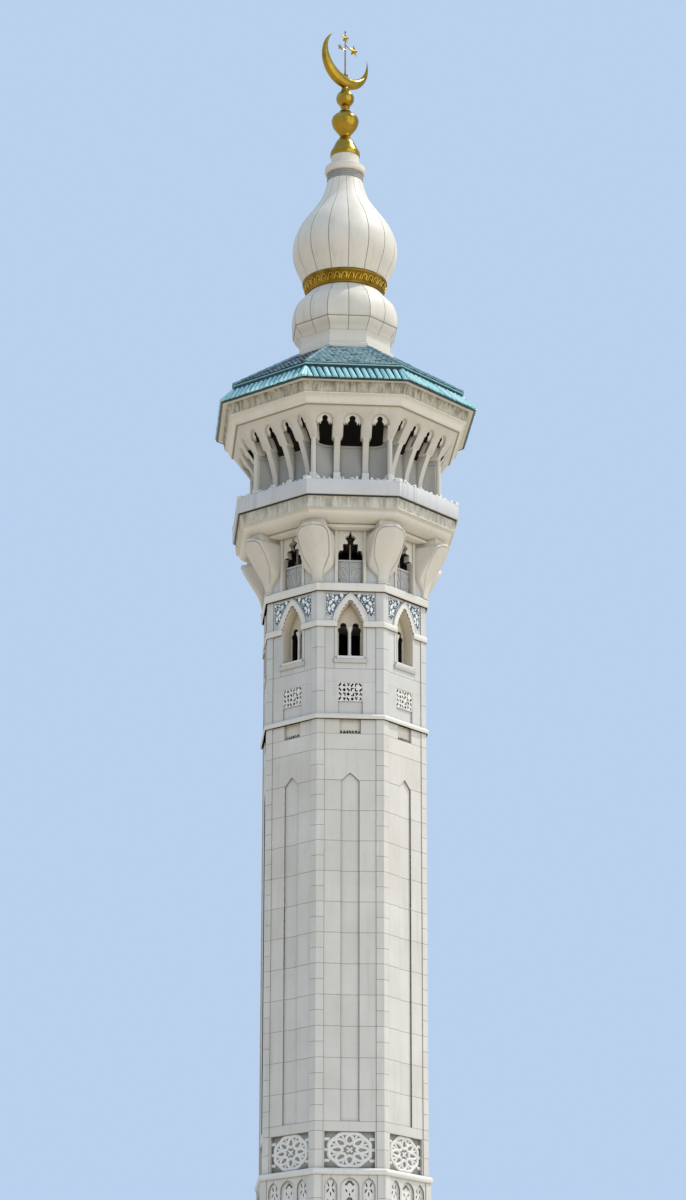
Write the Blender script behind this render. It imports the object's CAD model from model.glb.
"""The minaret's looks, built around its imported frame.

Metres, +Z up. The front face looks along -Y and is face 0; the faces are counted towards +X.
A place on a face is (u, n, z): u along the face, n out from the tower's axis, z up.
A shape is a pair: an array of points, and faces that are lists of indices.
An outline is a list of (u, z) points, counted round in either direction.
"""

import math
import random

import bmesh
import bpy
import numpy as np
from mathutils import Matrix, Vector


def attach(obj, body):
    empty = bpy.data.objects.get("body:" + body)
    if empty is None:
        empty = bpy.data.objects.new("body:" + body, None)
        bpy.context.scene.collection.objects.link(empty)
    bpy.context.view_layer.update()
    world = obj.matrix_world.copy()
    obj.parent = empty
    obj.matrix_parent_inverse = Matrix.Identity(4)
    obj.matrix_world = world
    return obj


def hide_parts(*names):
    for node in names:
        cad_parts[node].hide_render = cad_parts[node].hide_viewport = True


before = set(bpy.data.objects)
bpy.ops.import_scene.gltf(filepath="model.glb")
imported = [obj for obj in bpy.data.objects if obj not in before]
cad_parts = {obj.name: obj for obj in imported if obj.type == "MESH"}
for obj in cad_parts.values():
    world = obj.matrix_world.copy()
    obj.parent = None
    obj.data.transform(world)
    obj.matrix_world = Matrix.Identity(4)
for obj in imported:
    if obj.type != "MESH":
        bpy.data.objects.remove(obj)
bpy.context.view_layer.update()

# The octagon
FACES = 8
FACE_ANGLE = math.tau / FACES
HALF_SIDE = math.tan(FACE_ANGLE / 2)
CORNER = 1 / math.cos(FACE_ANGLE / 2)
QUARTERS = ("front", "right", "back", "left")

# Heights of the storeys
PLINTH_TOP = 0.55
BASE_LEDGE = 4.3
SHAFT_FOOT = 4.48
MID_LEDGE = 16.986
WINDOW_FOOT = 17.131
STRING = 20.73
CORBEL_FOOT = 20.965
CORNICE = 22.55
GALLERY_FLOOR = 23.31
GALLERY_STAND = 23.72
UPPER_CORNICE = 26.01
ROOF = 26.6
UPPER_ROOF = 27.18
COLLAR = 28.55
LOWER_BULB = 29.12
GOLD_BAND = 30.733
ONION = 31.15
NECK = 34.69
FINIAL = 35.281

# Widths: the distance of each plane from the tower's axis
SHAFT = 2.25
BASE = 2.31
PLINTH = 2.56
CORE = 2.2
ROOM = 1.75

# The cladding: half a pilaster, how far a panel is sunk, and the slabs' thickness over the solid
PILASTER = 0.205
PANEL_SINK = 0.02
CLADDING = 0.008
COVER = 0.004
JOINT = 0.008
ARRIS = 0.005
BASE_FRONT = BASE - PANEL_SINK + CLADDING
SHAFT_FRONT = SHAFT - PANEL_SINK + CLADDING
SHAFT_EDGE = SHAFT * HALF_SIDE - PILASTER - COVER
PILASTER_DEPTH = 0.14


# Shapes and their places

def shape(points, faces):
    return np.array(points, float).reshape(-1, 3), faces


def merged(shapes):
    points, faces, start = [], [], 0
    for part_points, part_faces in shapes:
        points.append(part_points)
        faces.extend(tuple(i + start for i in f) for f in part_faces)
        start += len(part_points)
    return np.concatenate(points), faces


def on_face(part, face):
    """A shape in its place on a face. Corner k lies at face k + 0.5."""
    angle = face * FACE_ANGLE - math.pi / 2
    c, s = math.cos(angle), math.sin(angle)
    u, n, z = part[0].T
    return np.column_stack((n * c - u * s, n * s + u * c, z)), part[1]


def on_faces(part):
    return merged([on_face(part, face) for face in range(FACES)])


def on_corners(part):
    return merged([on_face(part, face + 0.5) for face in range(FACES)])


def both(part):
    """A shape and its mirror image across the middle of the face."""
    return merged([part, (part[0] * (-1, 1, 1), [f[::-1] for f in part[1]])])


def moved(part, u=0.0, n=0.0):
    return part[0] + np.array((u, n, 0.0)), part[1]


# Outlines

def area(outline):
    return sum(a[0] * b[1] - b[0] * a[1] for a, b in zip(outline, outline[1:] + outline[:1])) / 2


def inset(outline, distance):
    """The outline drawn in by a distance, each corner along its bisector."""
    turn = 1 if area(outline) > 0 else -1
    drawn = []
    for before, here, after in zip(outline[-1:] + outline[:-1], outline, outline[1:] + outline[:1]):
        a = Vector((here[0] - before[0], here[1] - before[1]))
        b = Vector((after[0] - here[0], after[1] - here[1]))
        if a.length < 1e-7 or b.length < 1e-7:
            drawn.append(here)
            continue
        a.normalize()
        b.normalize()
        inward = Vector((-a.y - b.y, a.x + b.x)) * turn
        reach = distance * 2 / max(inward.length_squared, 0.5)
        drawn.append((here[0] + inward.x * reach, here[1] + inward.y * reach))
    return drawn


def clip(outline, axis, limit, side):
    """What of an outline lies on one side of a line across u (axis 0) or z (axis 1)."""
    kept = []
    for a, b in zip(outline, outline[1:] + outline[:1]):
        inside_a = (a[axis] - limit) * side >= -1e-9
        inside_b = (b[axis] - limit) * side >= -1e-9
        if inside_a:
            kept.append(a)
        if inside_a != inside_b:
            share = (limit - a[axis]) / (b[axis] - a[axis])
            kept.append(tuple(p + (q - p) * share for p, q in zip(a, b)))
    return [p for i, p in enumerate(kept) if math.dist(p, kept[i - 1]) > 1e-4]


def rect(left, right, bottom, top):
    return [(left, bottom), (right, bottom), (right, top), (left, top)]


def polar(radius, angle):
    return radius * math.cos(angle), radius * math.sin(angle)


def arch_side(half, spring, apex):
    """The right side of a pointed arch, from its springing to its apex."""
    steps = 8
    rise = apex - spring
    radius = (half * half + rise * rise) / (2 * half)
    end = math.acos((radius - half) / radius)
    arc = [polar(radius, end * i / steps) for i in range(steps)]
    return [(half - radius + u, spring + z) for u, z in arc] + [(0.0, apex)]


def keel_side(half, spring, apex, shoulder, steps=10):
    """The right side of a nearly straight arch. It bends at a shoulder: shares of its width and rise."""
    bend = (half * shoulder[0], spring + (apex - spring) * shoulder[1])
    side = []
    for t in (i / steps for i in range(steps + 1)):
        u = half * (1 - t) ** 2 + 2 * bend[0] * t * (1 - t)
        side.append((u, spring * (1 - t) ** 2 + 2 * bend[1] * t * (1 - t) + apex * t * t))
    return side


def symmetric(right_side, centre=0.0):
    """An outline from its right side, listed upwards; a last point on the axis isn't doubled."""
    left = [(-u, z) for u, z in reversed(right_side)]
    if abs(right_side[-1][0]) < 1e-9:
        left = left[1:]
    return [(u + centre, z) for u, z in right_side + left]


def pointed(half, bottom, spring, apex, centre):
    return symmetric([(half, bottom)] + arch_side(half, spring, apex), centre)


def keel(half, bottom, spring, apex, shoulder):
    return symmetric([(half, bottom)] + keel_side(half, spring, apex, shoulder))


def foiled(points, bulge, steps):
    """A line through cusps. A lobe between each pair bulges to the right by a share of its length."""
    line = [tuple(points[0])]
    for a, b in zip(points, points[1:]):
        start = Vector(a)
        way = Vector(b) - start
        side = Vector((way.y, -way.x)) * bulge
        for t in (i / steps for i in range(1, steps + 1)):
            line.append(tuple(start + way * t + side * 4 * t * (1 - t)))
    return line


def smooth_line(points, steps):
    """A Catmull-Rom curve through the points."""
    rows = [np.array(p, float) for p in points]
    rows = [2 * rows[0] - rows[1]] + rows + [2 * rows[-1] - rows[-2]]
    line = []
    for p0, p1, p2, p3 in zip(rows, rows[1:], rows[2:], rows[3:]):
        for t in (j / steps for j in range(steps)):
            second = (2 * p0 - 5 * p1 + 4 * p2 - p3) * t * t
            third = (3 * p1 - p0 - 3 * p2 + p3) * t ** 3
            line.append(0.5 * (2 * p1 + (p2 - p0) * t + second + third))
    return [tuple(p) for p in line + [rows[-2]]]


# Solids from outlines and lines

def prism(rings, closed=False):
    """A skin through rings of points. It has flat ends, or the last ring joins the first."""
    count = len(rings[0])
    faces = []
    for i in range(len(rings) if closed else len(rings) - 1):
        here, there = i * count, (i + 1) % len(rings) * count
        for j in range(count):
            k = (j + 1) % count
            faces.append((here + j, here + k, there + k, there + j))
    if not closed:
        last = (len(rings) - 1) * count
        faces += [tuple(reversed(range(count))), tuple(range(last, last + count))]
    return shape([p for ring_points in rings for p in ring_points], faces)


def slab(outline, back, front, arris=ARRIS):
    """A stone in a face: its outline, and an arris round its front."""
    return prism([
        [(u, back, z) for u, z in outline],
        [(u, front - arris, z) for u, z in outline],
        [(u, front, z) for u, z in inset(outline, arris)],
    ])


def block(plan, bottom, top, arris=ARRIS):
    """A stone from its plan, with arrises round its top and bottom."""
    drawn = inset(plan, arris)
    return prism([
        [(x, y, bottom) for x, y in drawn],
        [(x, y, bottom + arris) for x, y in plan],
        [(x, y, top - arris) for x, y in plan],
        [(x, y, top) for x, y in drawn],
    ])


def cut_bar(section, left, right):
    """A bar along a face from its (n, z) section, between two places u."""
    return prism([[(left, n, z) for n, z in section], [(right, n, z) for n, z in section]])


def plate(outlines, back, front, arris):
    """A pierced plate: outlines inside another one are holes."""
    curve = bpy.data.curves.new("plate", "CURVE")
    curve.dimensions = "2D"
    curve.fill_mode = "BOTH"
    curve.bevel_resolution = 0
    curve.bevel_depth = arris
    curve.offset = -arris
    curve.extrude = (front - back) / 2 - arris
    for outline in outlines:
        spline = curve.splines.new("POLY")
        spline.points.add(len(outline) - 1)
        for point, (u, z) in zip(spline.points, outline):
            point.co = (u, z, 0, 1)
        spline.use_cyclic_u = True
    holder = bpy.data.objects.new("plate", curve)
    mesh = bpy.data.meshes.new_from_object(holder)
    work = bmesh.new()
    work.from_mesh(mesh)
    bmesh.ops.remove_doubles(work, verts=work.verts, dist=1e-5)
    points = [(v.co.x, v.co.z + (front + back) / 2, v.co.y) for v in work.verts]
    faces = [[v.index for v in f.verts] for f in work.faces]
    work.free()
    bpy.data.meshes.remove(mesh)
    bpy.data.objects.remove(holder)
    bpy.data.curves.remove(curve)
    return shape(points, faces)


def band(line, section, plane, closed=False):
    """A moulding on a face: its line in (u, z), its section in (across, out) from a plane n."""
    count = len(line)
    rings = []
    for i, here in enumerate(line):
        before = line[i - 1] if closed or i else here
        after = line[(i + 1) % count] if closed or i + 1 < count else here
        way = Vector((after[0] - before[0], after[1] - before[1])).normalized()
        arriving = Vector((here[0] - before[0], here[1] - before[1]))
        stretch = 1.0
        if arriving.length > 1e-7:
            stretch = min(1 / max(way.dot(arriving.normalized()), 0.5), 1.6)
        u, z = way.y * stretch, -way.x * stretch
        rings.append([(here[0] + u * across, plane + out, here[1] + z * across) for across, out in section])
    return prism(rings, closed)


def domed(half, out):
    """A section that is rounded in front."""
    right = [(half * 0.62, out * 0.88), (half, out * 0.55), (half, -0.01)]
    return [(-across, rise) for across, rise in right[::-1]] + [(0, out)] + right


def tube(points, radii, sides):
    """A rod along a line of points; radii is one radius or one for each point."""
    line = [Vector(p) for p in points]
    if not hasattr(radii, "__len__"):
        radii = [radii] * len(line)
    last = len(line) - 1
    ways = [(line[min(i + 1, last)] - line[max(i - 1, 0)]).normalized() for i in range(last + 1)]
    across = ways[0].orthogonal().normalized()
    rings = []
    for p, way, radius in zip(line, ways, radii):
        across = (across - way * across.dot(way)).normalized()
        other = way.cross(across)
        turns = [math.tau * j / sides for j in range(sides)]
        rings.append([tuple(p + (across * math.cos(a) + other * math.sin(a)) * radius) for a in turns])
    return prism(rings)


def lathe(profile, angles, reach=None):
    """A (radius, z) profile turned about the axis. It closes on itself, or starts and ends on the axis."""
    count = len(angles)
    points, faces, rows = [], [], []
    for radius, z in profile:
        if radius < 1e-6:
            rows.append([len(points)] * count)
            points.append((0, 0, z))
            continue
        rows.append(list(range(len(points), len(points) + count)))
        for angle in angles:
            points.append((*polar(reach(radius, z, angle) if reach else radius, angle), z))
    closed = profile[0][0] > 1e-6
    for i in range(len(rows) if closed else len(rows) - 1):
        a, b = rows[i], rows[(i + 1) % len(rows)]
        for j in range(count):
            k = (j + 1) % count
            face = tuple(dict.fromkeys((a[j], a[k], b[k], b[j])))
            if len(face) > 2:
                faces.append(face)
    return shape(points, faces)


def turned(profile, segments):
    return lathe(profile, [math.tau * i / segments for i in range(segments)])


def ring(profile, shares=(-1.0,), push=None):
    """An octagonal ring from its (n, z) profile. Shares are places along half a side."""
    columns = []
    for face in range(FACES):
        for share in shares:
            places = [(share * n * HALF_SIDE, n, z) for n, z in profile]
            if push:
                places = [(u, n + push(u, n, z), z) for u, n, z in places]
            columns.append(on_face(shape(places, []), face)[0])
    return prism(columns, closed=True)


# Materials

def rgb(red, green, blue):
    """A colour as it shows on a screen, 0 to 255, made linear."""
    shares = (red / 255, green / 255, blue / 255)
    return tuple(((c + 0.055) / 1.055) ** 2.4 if c > 0.04 else c / 12.92 for c in shares)


class Look:
    """A material under construction: nodes are added, and joined by handing one's output to the next.

    Its colours are given as they show on a screen, 0 to 255.
    """

    def __init__(self, name, **sockets):
        self.material = bpy.data.materials.new(name)
        self.material.use_nodes = True
        self.tree = self.material.node_tree
        self.shader = self.tree.nodes["Principled BSDF"]
        for key, value in sockets.items():
            self.shader.inputs[key.replace("_", " ").title()].default_value = value
        self.place = self.add("TexCoord").outputs["Object"]

    def feed(self, socket, value):
        if isinstance(value, bpy.types.NodeSocket):
            self.tree.links.new(value, socket)
        else:
            socket.default_value = value

    def add(self, kind, inputs=None, **settings):
        node = self.tree.nodes.new("ShaderNode" + kind)
        for key, value in settings.items():
            setattr(node, key, value)
        for key, value in (inputs or {}).items():
            self.feed(node.inputs[key], value)
        return node

    def noise(self, scale, detail, stretch=None, rough=0.55):
        """A noise from 0 to 1; stretch squeezes its places first."""
        place = self.place
        if stretch:
            place = self.add("VectorMath", {0: place, 1: stretch}, operation="MULTIPLY").outputs[0]
        inputs = {"Vector": place, "Scale": scale, "Detail": detail, "Roughness": rough}
        return self.add("TexNoise", inputs).outputs["Fac"]

    def fit(self, value, low, high, to_low=0.0, to_high=1.0):
        inputs = {"Value": value, "From Min": low, "From Max": high, "To Min": to_low, "To Max": to_high}
        return self.add("MapRange", inputs, clamp=True).outputs["Result"]

    def times(self, a, b):
        return self.add("Math", {0: a, 1: b}, operation="MULTIPLY").outputs[0]

    def plus(self, a, b):
        return self.add("Math", {0: a, 1: b}, operation="ADD").outputs[0]

    def mix(self, share, a, b):
        a, b = ((*rgb(*c), 1.0) if isinstance(c, tuple) else c for c in (a, b))
        return self.add("Mix", {0: share, 6: a, 7: b}, data_type="RGBA").outputs[2]

    def island(self):
        """A number from 0 to 1 that differs from stone to stone."""
        return self.add("NewGeometry").outputs["Random Per Island"]

    def grimed(self, colour, grime, distance, low, high, strength):
        """Dirt in corners and carving, up to a distance deep."""
        open_share = self.add("AmbientOcclusion", {"Distance": distance}, samples=6).outputs["AO"]
        return self.mix(self.fit(open_share, low, high, strength, 0.0), colour, grime)

    def set(self, socket, value):
        self.feed(self.shader.inputs[socket], value)

    def bump(self, height, strength, distance):
        inputs = {"Height": height, "Strength": strength, "Distance": distance}
        self.set("Normal", self.add("Bump", inputs).outputs["Normal"])


def stone(name, light, dark, grime, soiling=0.25, roughness=0.6, vary=0.35, hollow=0.12, bump=0.25):
    """Marble slabs: each slab its own tone, clouds, faint veins, rain streaks and dirt in the corners."""
    look = Look(name, Roughness=roughness)
    cloud = look.fit(look.noise(0.9, 5.0), 0.3, 0.7)
    colour = look.mix(look.plus(look.times(cloud, 0.55), look.times(look.island(), vary)), light, dark)
    veins = look.noise(2.2, 8.0, rough=0.7)
    vein = look.times(look.fit(veins, 0.47, 0.5), look.fit(veins, 0.53, 0.5))
    colour = look.mix(look.times(vein, 0.16), colour, dark)
    streak = look.fit(look.noise(1.0, 5.0, (7.0, 7.0, 0.45)), 0.5, 0.78)
    patch = look.fit(look.noise(0.5, 3.0), 0.42, 0.65)
    colour = look.mix(look.times(look.times(streak, patch), soiling), colour, grime)
    look.set("Base Color", look.grimed(colour, grime, hollow, 0.35, 0.95, 0.55))
    look.bump(look.noise(28.0, 6.0), bump, 0.004)
    return look.material


def weathered(name, light, dark, grime, top, soiling):
    """A frieze under an eave: rain has run down it and left greenish black streaks from its top."""
    look = Look(name, Roughness=0.75)
    colour = look.mix(look.fit(look.noise(2.0, 5.0), 0.3, 0.7), light, dark)
    height = look.add("SeparateXYZ", {0: look.place}).outputs["Z"]
    near_top = look.times(look.fit(height, top - 0.3, top), 0.13)
    wet = look.plus(look.noise(1.0, 6.0, (9.0, 9.0, 1.6), 0.65), near_top)
    colour = look.mix(look.times(look.fit(wet, 0.5, 0.7), soiling), colour, grime)
    spots = look.fit(look.noise(11.0, 6.0, rough=0.75), 0.58, 0.66)
    colour = look.mix(look.times(spots, 0.45), colour, grime)
    look.set("Base Color", look.grimed(colour, grime, 0.08, 0.3, 0.9, 0.6))
    look.bump(look.noise(20.0, 8.0, rough=0.7), 0.6, 0.008)
    return look.material


def glazed(name, light, dark, dusty):
    """Glazed pieces: each one its own shade between two colours, with a crackled, dusty face."""
    look = Look(name, Coat_weight=0.3, Coat_roughness=0.15)
    dust = look.times(look.fit(look.noise(6.0, 6.0), 0.45, 0.75), 0.35)
    look.set("Base Color", look.mix(dust, look.mix(look.island(), light, dark), dusty))
    look.set("Roughness", look.fit(look.noise(14.0, 4.0), 0.3, 0.7, 0.25, 0.55))
    look.bump(look.noise(40.0, 5.0), 0.3, 0.003)
    return look.material


def gilded(name, light, dark, roughness, relief=0.0):
    """Gold leaf on copper: warmer and duller in the hollows, with faint laps and scratches."""
    look = Look(name, Metallic=1.0)
    colour = look.mix(look.fit(look.noise(3.0, 6.0), 0.3, 0.72), light, dark)
    look.set("Base Color", look.grimed(colour, (70, 45, 12), 0.06, 0.3, 0.9, 0.75))
    look.set("Roughness", look.fit(look.noise(9.0, 6.0), 0.3, 0.7, roughness, roughness + 0.18))
    look.bump(look.noise(16.0, 4.0), 0.12 + relief, 0.004)
    return look.material


def plain(name, light, dark, roughness=0.85):
    look = Look(name, Roughness=roughness)
    look.set("Base Color", look.mix(look.noise(3.0, 6.0), light, dark))
    look.bump(look.noise(25.0, 6.0), 0.4, 0.005)
    return look.material


def mortar(name, light, dark, inside):
    """Mortar between the slabs, and darkness in the hollow of the tower."""
    look = Look(name, Roughness=0.9)
    flat = look.add("VectorMath", {0: look.place, 1: (1.0, 1.0, 0.0)}, operation="MULTIPLY").outputs[0]
    radius = look.add("VectorMath", {0: flat}, operation="LENGTH").outputs["Value"]
    face = look.mix(look.noise(3.0, 6.0), light, dark)
    look.set("Base Color", look.mix(look.fit(radius, 1.93, 2.0), inside, face))
    look.bump(look.noise(25.0, 6.0), 0.4, 0.005)
    return look.material


GRIME = (112, 105, 86)
MARBLE = stone("marble", (221, 216, 206), (201, 196, 184), GRIME)
MARBLE_UPPER = stone("marble_upper", (215, 212, 205), (195, 192, 184), GRIME, 0.3)
MARBLE_TRIM = stone("marble_trim", (230, 226, 217), (214, 209, 197), GRIME, 0.2, vary=0.2)
UPSTAND = stone("upstand_stone", (211, 210, 208), (194, 194, 192), (104, 100, 92), 0.4, vary=0.2)
CARVED = stone("carved_marble", (234, 230, 222), (216, 211, 200), (90, 86, 76), 0.15, vary=0.15, hollow=0.05)
RECESS = stone("recess_grey", (168, 166, 158), (142, 140, 132), (76, 74, 68), vary=0.3)
SCREEN = stone("screen_beige", (222, 216, 202), (204, 197, 182), (114, 106, 91), vary=0.2)
CREAM = stone("niche_cream", (220, 210, 190), (202, 191, 171), (143, 129, 100), vary=0.2)
GUARD_GREY = stone("guard_grey", (203, 202, 198), (183, 182, 179), (106, 104, 99), vary=0.3)
GUARD_WALL = stone("guard_wall", (172, 169, 160), (150, 147, 139), (90, 87, 80), vary=0.3)
SILL = stone("sill_grey", (205, 203, 197), (188, 186, 180), (114, 110, 100), vary=0.3)
BAR = plain("keyhole_bar", (158, 148, 132), (128, 118, 104))
BRACKET = stone("bracket_stone", (219, 213, 200), (202, 195, 181), (124, 113, 91), 0.2)
ARCADE = stone("arcade_stone", (215, 210, 198), (199, 193, 181), (120, 110, 90), 0.2)
SOFFIT = stone("soffit_beige", (227, 222, 210), (211, 206, 193), (125, 112, 90), 0.2)
FRIEZE = weathered("weathered_frieze", (212, 207, 191), (196, 190, 173), (62, 60, 46), 23.28, 0.42)
FRIEZE_UPPER = weathered("weathered_upper_frieze", (202, 197, 179), (184, 178, 159), (48, 47, 35), ROOF, 0.66)
SEAM_BROWN = plain("seam_brown", (168, 155, 134), (146, 133, 113))
JOINTS = mortar("joint_mortar", (148, 142, 131), (118, 112, 102), (8, 7, 6))
INSIDE = plain("dark_inside", (30, 27, 24), (14, 13, 12))
CEILING = plain("gallery_ceiling", (62, 54, 42), (38, 34, 28))
DRIP = plain("drip_edge", (44, 50, 46), (24, 28, 26), 0.5)
TILE = glazed("turquoise_tile", (172, 218, 218), (114, 181, 184), (212, 232, 230))
TILE_ROW = glazed("turquoise_tile_row", (122, 162, 168), (72, 114, 124), (172, 194, 196))
TILE_DARK = glazed("turquoise_tile_dark", (28, 72, 88), (10, 40, 54), (52, 94, 106))
TILE_BED = plain("tile_bed", (26, 66, 72), (12, 34, 40))
MOSAIC_DARK = glazed("mosaic_dark", (88, 96, 98), (56, 62, 64), (116, 122, 124))
MOSAIC_BLUE = glazed("mosaic_blue", (190, 206, 210), (160, 180, 188), (206, 216, 216))
MOSAIC_WHITE = glazed("mosaic_white", (244, 244, 240), (226, 230, 228), (214, 218, 216))
DOME = stone("dome_white", (227, 220, 205), (211, 203, 187), (132, 124, 104), 0.26, 0.5, 0.25, bump=0.12)
DOME_SEAM = plain("dome_seam", (150, 144, 132), (128, 122, 110))
NECK_STONE = stone("neck_stone", (166, 166, 161), (146, 146, 142), (80, 78, 72), vary=0.4)
GOLD = gilded("gilding", (187, 156, 62), (145, 115, 34), 0.14)
GOLD_RELIEF = gilded("gilding_relief", (220, 184, 84), (176, 142, 50), 0.26, 0.1)
GOLD_GROUND = gilded("gilding_ground", (164, 132, 46), (116, 88, 24), 0.36, 0.1)


# Pieces

def build(name, parts, replaces=(), smooth=30):
    """Makes a visible piece of the tower from (shape, material) pairs.

    A pair may go on with an accent material and a test: faces whose points pass it take the accent.
    """
    materials, indices = [], []
    for part, material, *accented in parts:
        materials += [m for m in (material, *accented[:1]) if m not in materials]
        index = materials.index(material)
        if accented:
            accent, test = materials.index(accented[0]), accented[1]
            indices += [accent if test(part[0][list(f)]) else index for f in part[1]]
        else:
            indices += [index] * len(part[1])
    points, faces = merged([row[0] for row in parts])
    mesh = bpy.data.meshes.new(name)
    mesh.from_pydata(points.tolist(), [], faces)
    mesh.polygons.foreach_set("material_index", indices)
    for material in materials:
        mesh.materials.append(material)
    work = bmesh.new()
    work.from_mesh(mesh)
    bmesh.ops.dissolve_degenerate(work, edges=work.edges, dist=1e-6)
    bmesh.ops.recalc_face_normals(work, faces=work.faces)
    for face in work.faces:
        face.smooth = True
    for edge in work.edges:
        edge.smooth = len(edge.link_faces) == 2 and edge.calc_face_angle(math.pi) < math.radians(smooth)
    work.to_mesh(mesh)
    work.free()
    piece = bpy.data.objects.new(name, mesh)
    bpy.context.scene.collection.objects.link(piece)
    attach(piece, "root")
    if replaces:
        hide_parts(*replaces)


def quarters(name):
    return [f"{name}_{side}" for side in QUARTERS]


def stones(zone, levels, uprights, back, front):
    """A zone of a face cut into stones, with a joint along each level and each upright line."""
    cut = []
    for low, high in zip(levels, levels[1:]):
        row = clip(clip(zone, 1, low, 1), 1, high, -1)
        for left, right in zip(uprights, uprights[1:]):
            cell = clip(clip(row, 0, left, 1), 0, right, -1)
            if len(cell) > 2 and abs(area(cell)) > 0.001:
                cut.append(slab(inset(cell, JOINT / 2), back, front))
    return merged(cut)


def corner_plan(front, back):
    """The plan of a stone that turns a corner. Front and back are its (n, u) at one end."""
    plan = []
    for (n, end), order in ((front, 1), (back, -1)):
        line = []
        for face, u in ((-0.5, end), (-0.5, n * HALF_SIDE), (0.5, -end)):
            c, s = polar(1, face * FACE_ANGLE)
            line.append((n * s + u * c, n * c - u * s))
        plan += line[::order]
    return plan


def corner_stones(apothem, levels, depth):
    """The pilaster on each corner, cut into stones that turn the corner."""
    plane = apothem + CLADDING
    edge = apothem * HALF_SIDE - PILASTER - COVER
    plan = corner_plan((plane, edge), (plane - depth, edge))
    rows = zip(levels, levels[1:])
    return on_corners(merged([block(plan, low + JOINT / 2, high - JOINT / 2) for low, high in rows]))


def leaf_outline(u, z, length, width, angle):
    """A leaf-shaped outline, pointed at both ends."""
    c, s = polar(1, math.radians(angle))
    outline = []
    for a in (math.tau * t / 12 for t in range(12)):
        x = length / 2 * math.cos(a)
        y = width / 2 * math.sin(a) * abs(math.sin(a)) ** 0.4
        outline.append((u + x * c - y * s, z + x * s + y * c))
    return outline


HOLE_SHAPES = (
    ((0, 0), (1, 0), (1, 0.38), (0.42, 0.38), (0.42, 1), (0, 1)),
    ((0, 0), (0.4, 0), (1, 0.6), (1, 1), (0.62, 1), (0, 0.42)),
    ((0, 1), (0.32, 1), (0.5, 0.55), (0.68, 1), (1, 1), (0.66, 0.1), (0.34, 0.1)),
    ((0.05, 0.3), (0.5, 0), (1, 0.35), (0.85, 0.9), (0.35, 1), (0, 0.65)),
    ((0, 0.3), (0.35, 0.3), (0.35, 0), (0.7, 0), (0.7, 0.55), (1, 0.55), (1, 0.9), (0, 0.9)),
)


def pierced(source, left, right, bottom, top, columns, rows, bar):
    """Small uneven holes in rows and columns, as a carver would cut them, with a bar between them."""
    holes = []
    wide, tall = (right - left) / columns, (top - bottom) / rows
    for row in range(rows):
        for column in range(columns):
            points = source.choice(HOLE_SHAPES)
            flip_u, flip_z = source.random() < 0.5, source.random() < 0.5
            low_u = left + column * wide + bar * source.uniform(0.25, 0.75)
            low_z = bottom + row * tall + bar * source.uniform(0.25, 0.75)
            size_u, size_z = wide - bar * source.uniform(0.8, 1.1), tall - bar * source.uniform(0.8, 1.1)
            points = [(1 - u if flip_u else u, 1 - z if flip_z else z) for u, z in points]
            holes.append([(low_u + size_u * u, low_z + size_z * z) for u, z in points])
    return holes


# The plinth and the base storey

def make_plinth():
    """Blocks with a sloping top course; the photo's edge hides them."""
    count = 3
    parts = []
    for low, high in ((0.0, 0.27 - JOINT / 2), (0.27 + JOINT / 2, 0.44 - JOINT / 2)):
        for j in range(count):
            left, right = ((-1 + 2 * k / count) * HALF_SIDE for k in (j, j + 1))
            front = [(left * PLINTH + JOINT / 2, PLINTH), (right * PLINTH - JOINT / 2, PLINTH)]
            plan = front + [(right * CORE, CORE), (left * CORE, CORE)]
            parts.append((on_faces(block(plan, low, high, 0.008)), MARBLE))
    sloping = [
        (CORE, 0.44), (PLINTH, 0.44), (PLINTH, 0.46), (2.535, 0.475), (2.36, PLINTH_TOP),
        (CORE, PLINTH_TOP),
    ]
    parts.append((ring(sloping), MARBLE_TRIM))
    parts.append((ring([(0.3, 0.005), (2.5, 0.005), (2.5, 0.43), (CORE, 0.545), (0.3, 0.545)]), JOINTS))
    build("plinth_blocks", parts, replaces=["plinth"])


BASE_PANELS = ((-0.51, 0.175), (0.0, 0.255), (0.51, 0.175))
BASE_SILL, BASE_SPRING, BASE_APEX = 1.25, 3.96, 4.215


def make_base():
    """The storey under the lower ledge: pilasters, and stones round three blind arches on each face."""
    apart, middle, side = 0.51, 0.255 - COVER, 0.175 - COVER
    edge = BASE * HALF_SIDE - PILASTER - COVER
    levels = [PLINTH_TOP, BASE_SILL, 1.95, 2.65, 3.4, BASE_LEDGE]
    middle_arch = arch_side(middle, BASE_SPRING, BASE_APEX)
    side_arch = arch_side(side, BASE_SPRING, BASE_APEX)
    between = [(0.0, PLINTH_TOP), (apart, PLINTH_TOP), (apart, BASE_SILL), (apart - side, BASE_SILL)]
    between += [(apart - u, z) for u, z in side_arch] + [(apart, BASE_LEDGE), (0.0, BASE_LEDGE)]
    between += middle_arch[::-1] + [(middle, BASE_SILL), (0.0, BASE_SILL)]
    beside = [(apart, PLINTH_TOP), (edge, PLINTH_TOP), (edge, BASE_LEDGE), (apart, BASE_LEDGE)]
    beside += [(apart + u, z) for u, z in side_arch[::-1]] + [(apart + side, BASE_SILL), (apart, BASE_SILL)]
    zones = ((between, (0.0, apart)), (beside, (apart, edge)))
    right = merged([stones(zone, levels, uprights, BASE - 0.14, BASE_FRONT) for zone, uprights in zones])
    turned_rows = [PLINTH_TOP + (BASE_LEDGE - PLINTH_TOP) * i / 6 for i in range(7)]
    build("base_cladding", [
        (corner_stones(BASE, turned_rows, 0.12), MARBLE),
        (on_faces(both(right)), MARBLE),
    ])
    make_base_screens()


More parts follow.
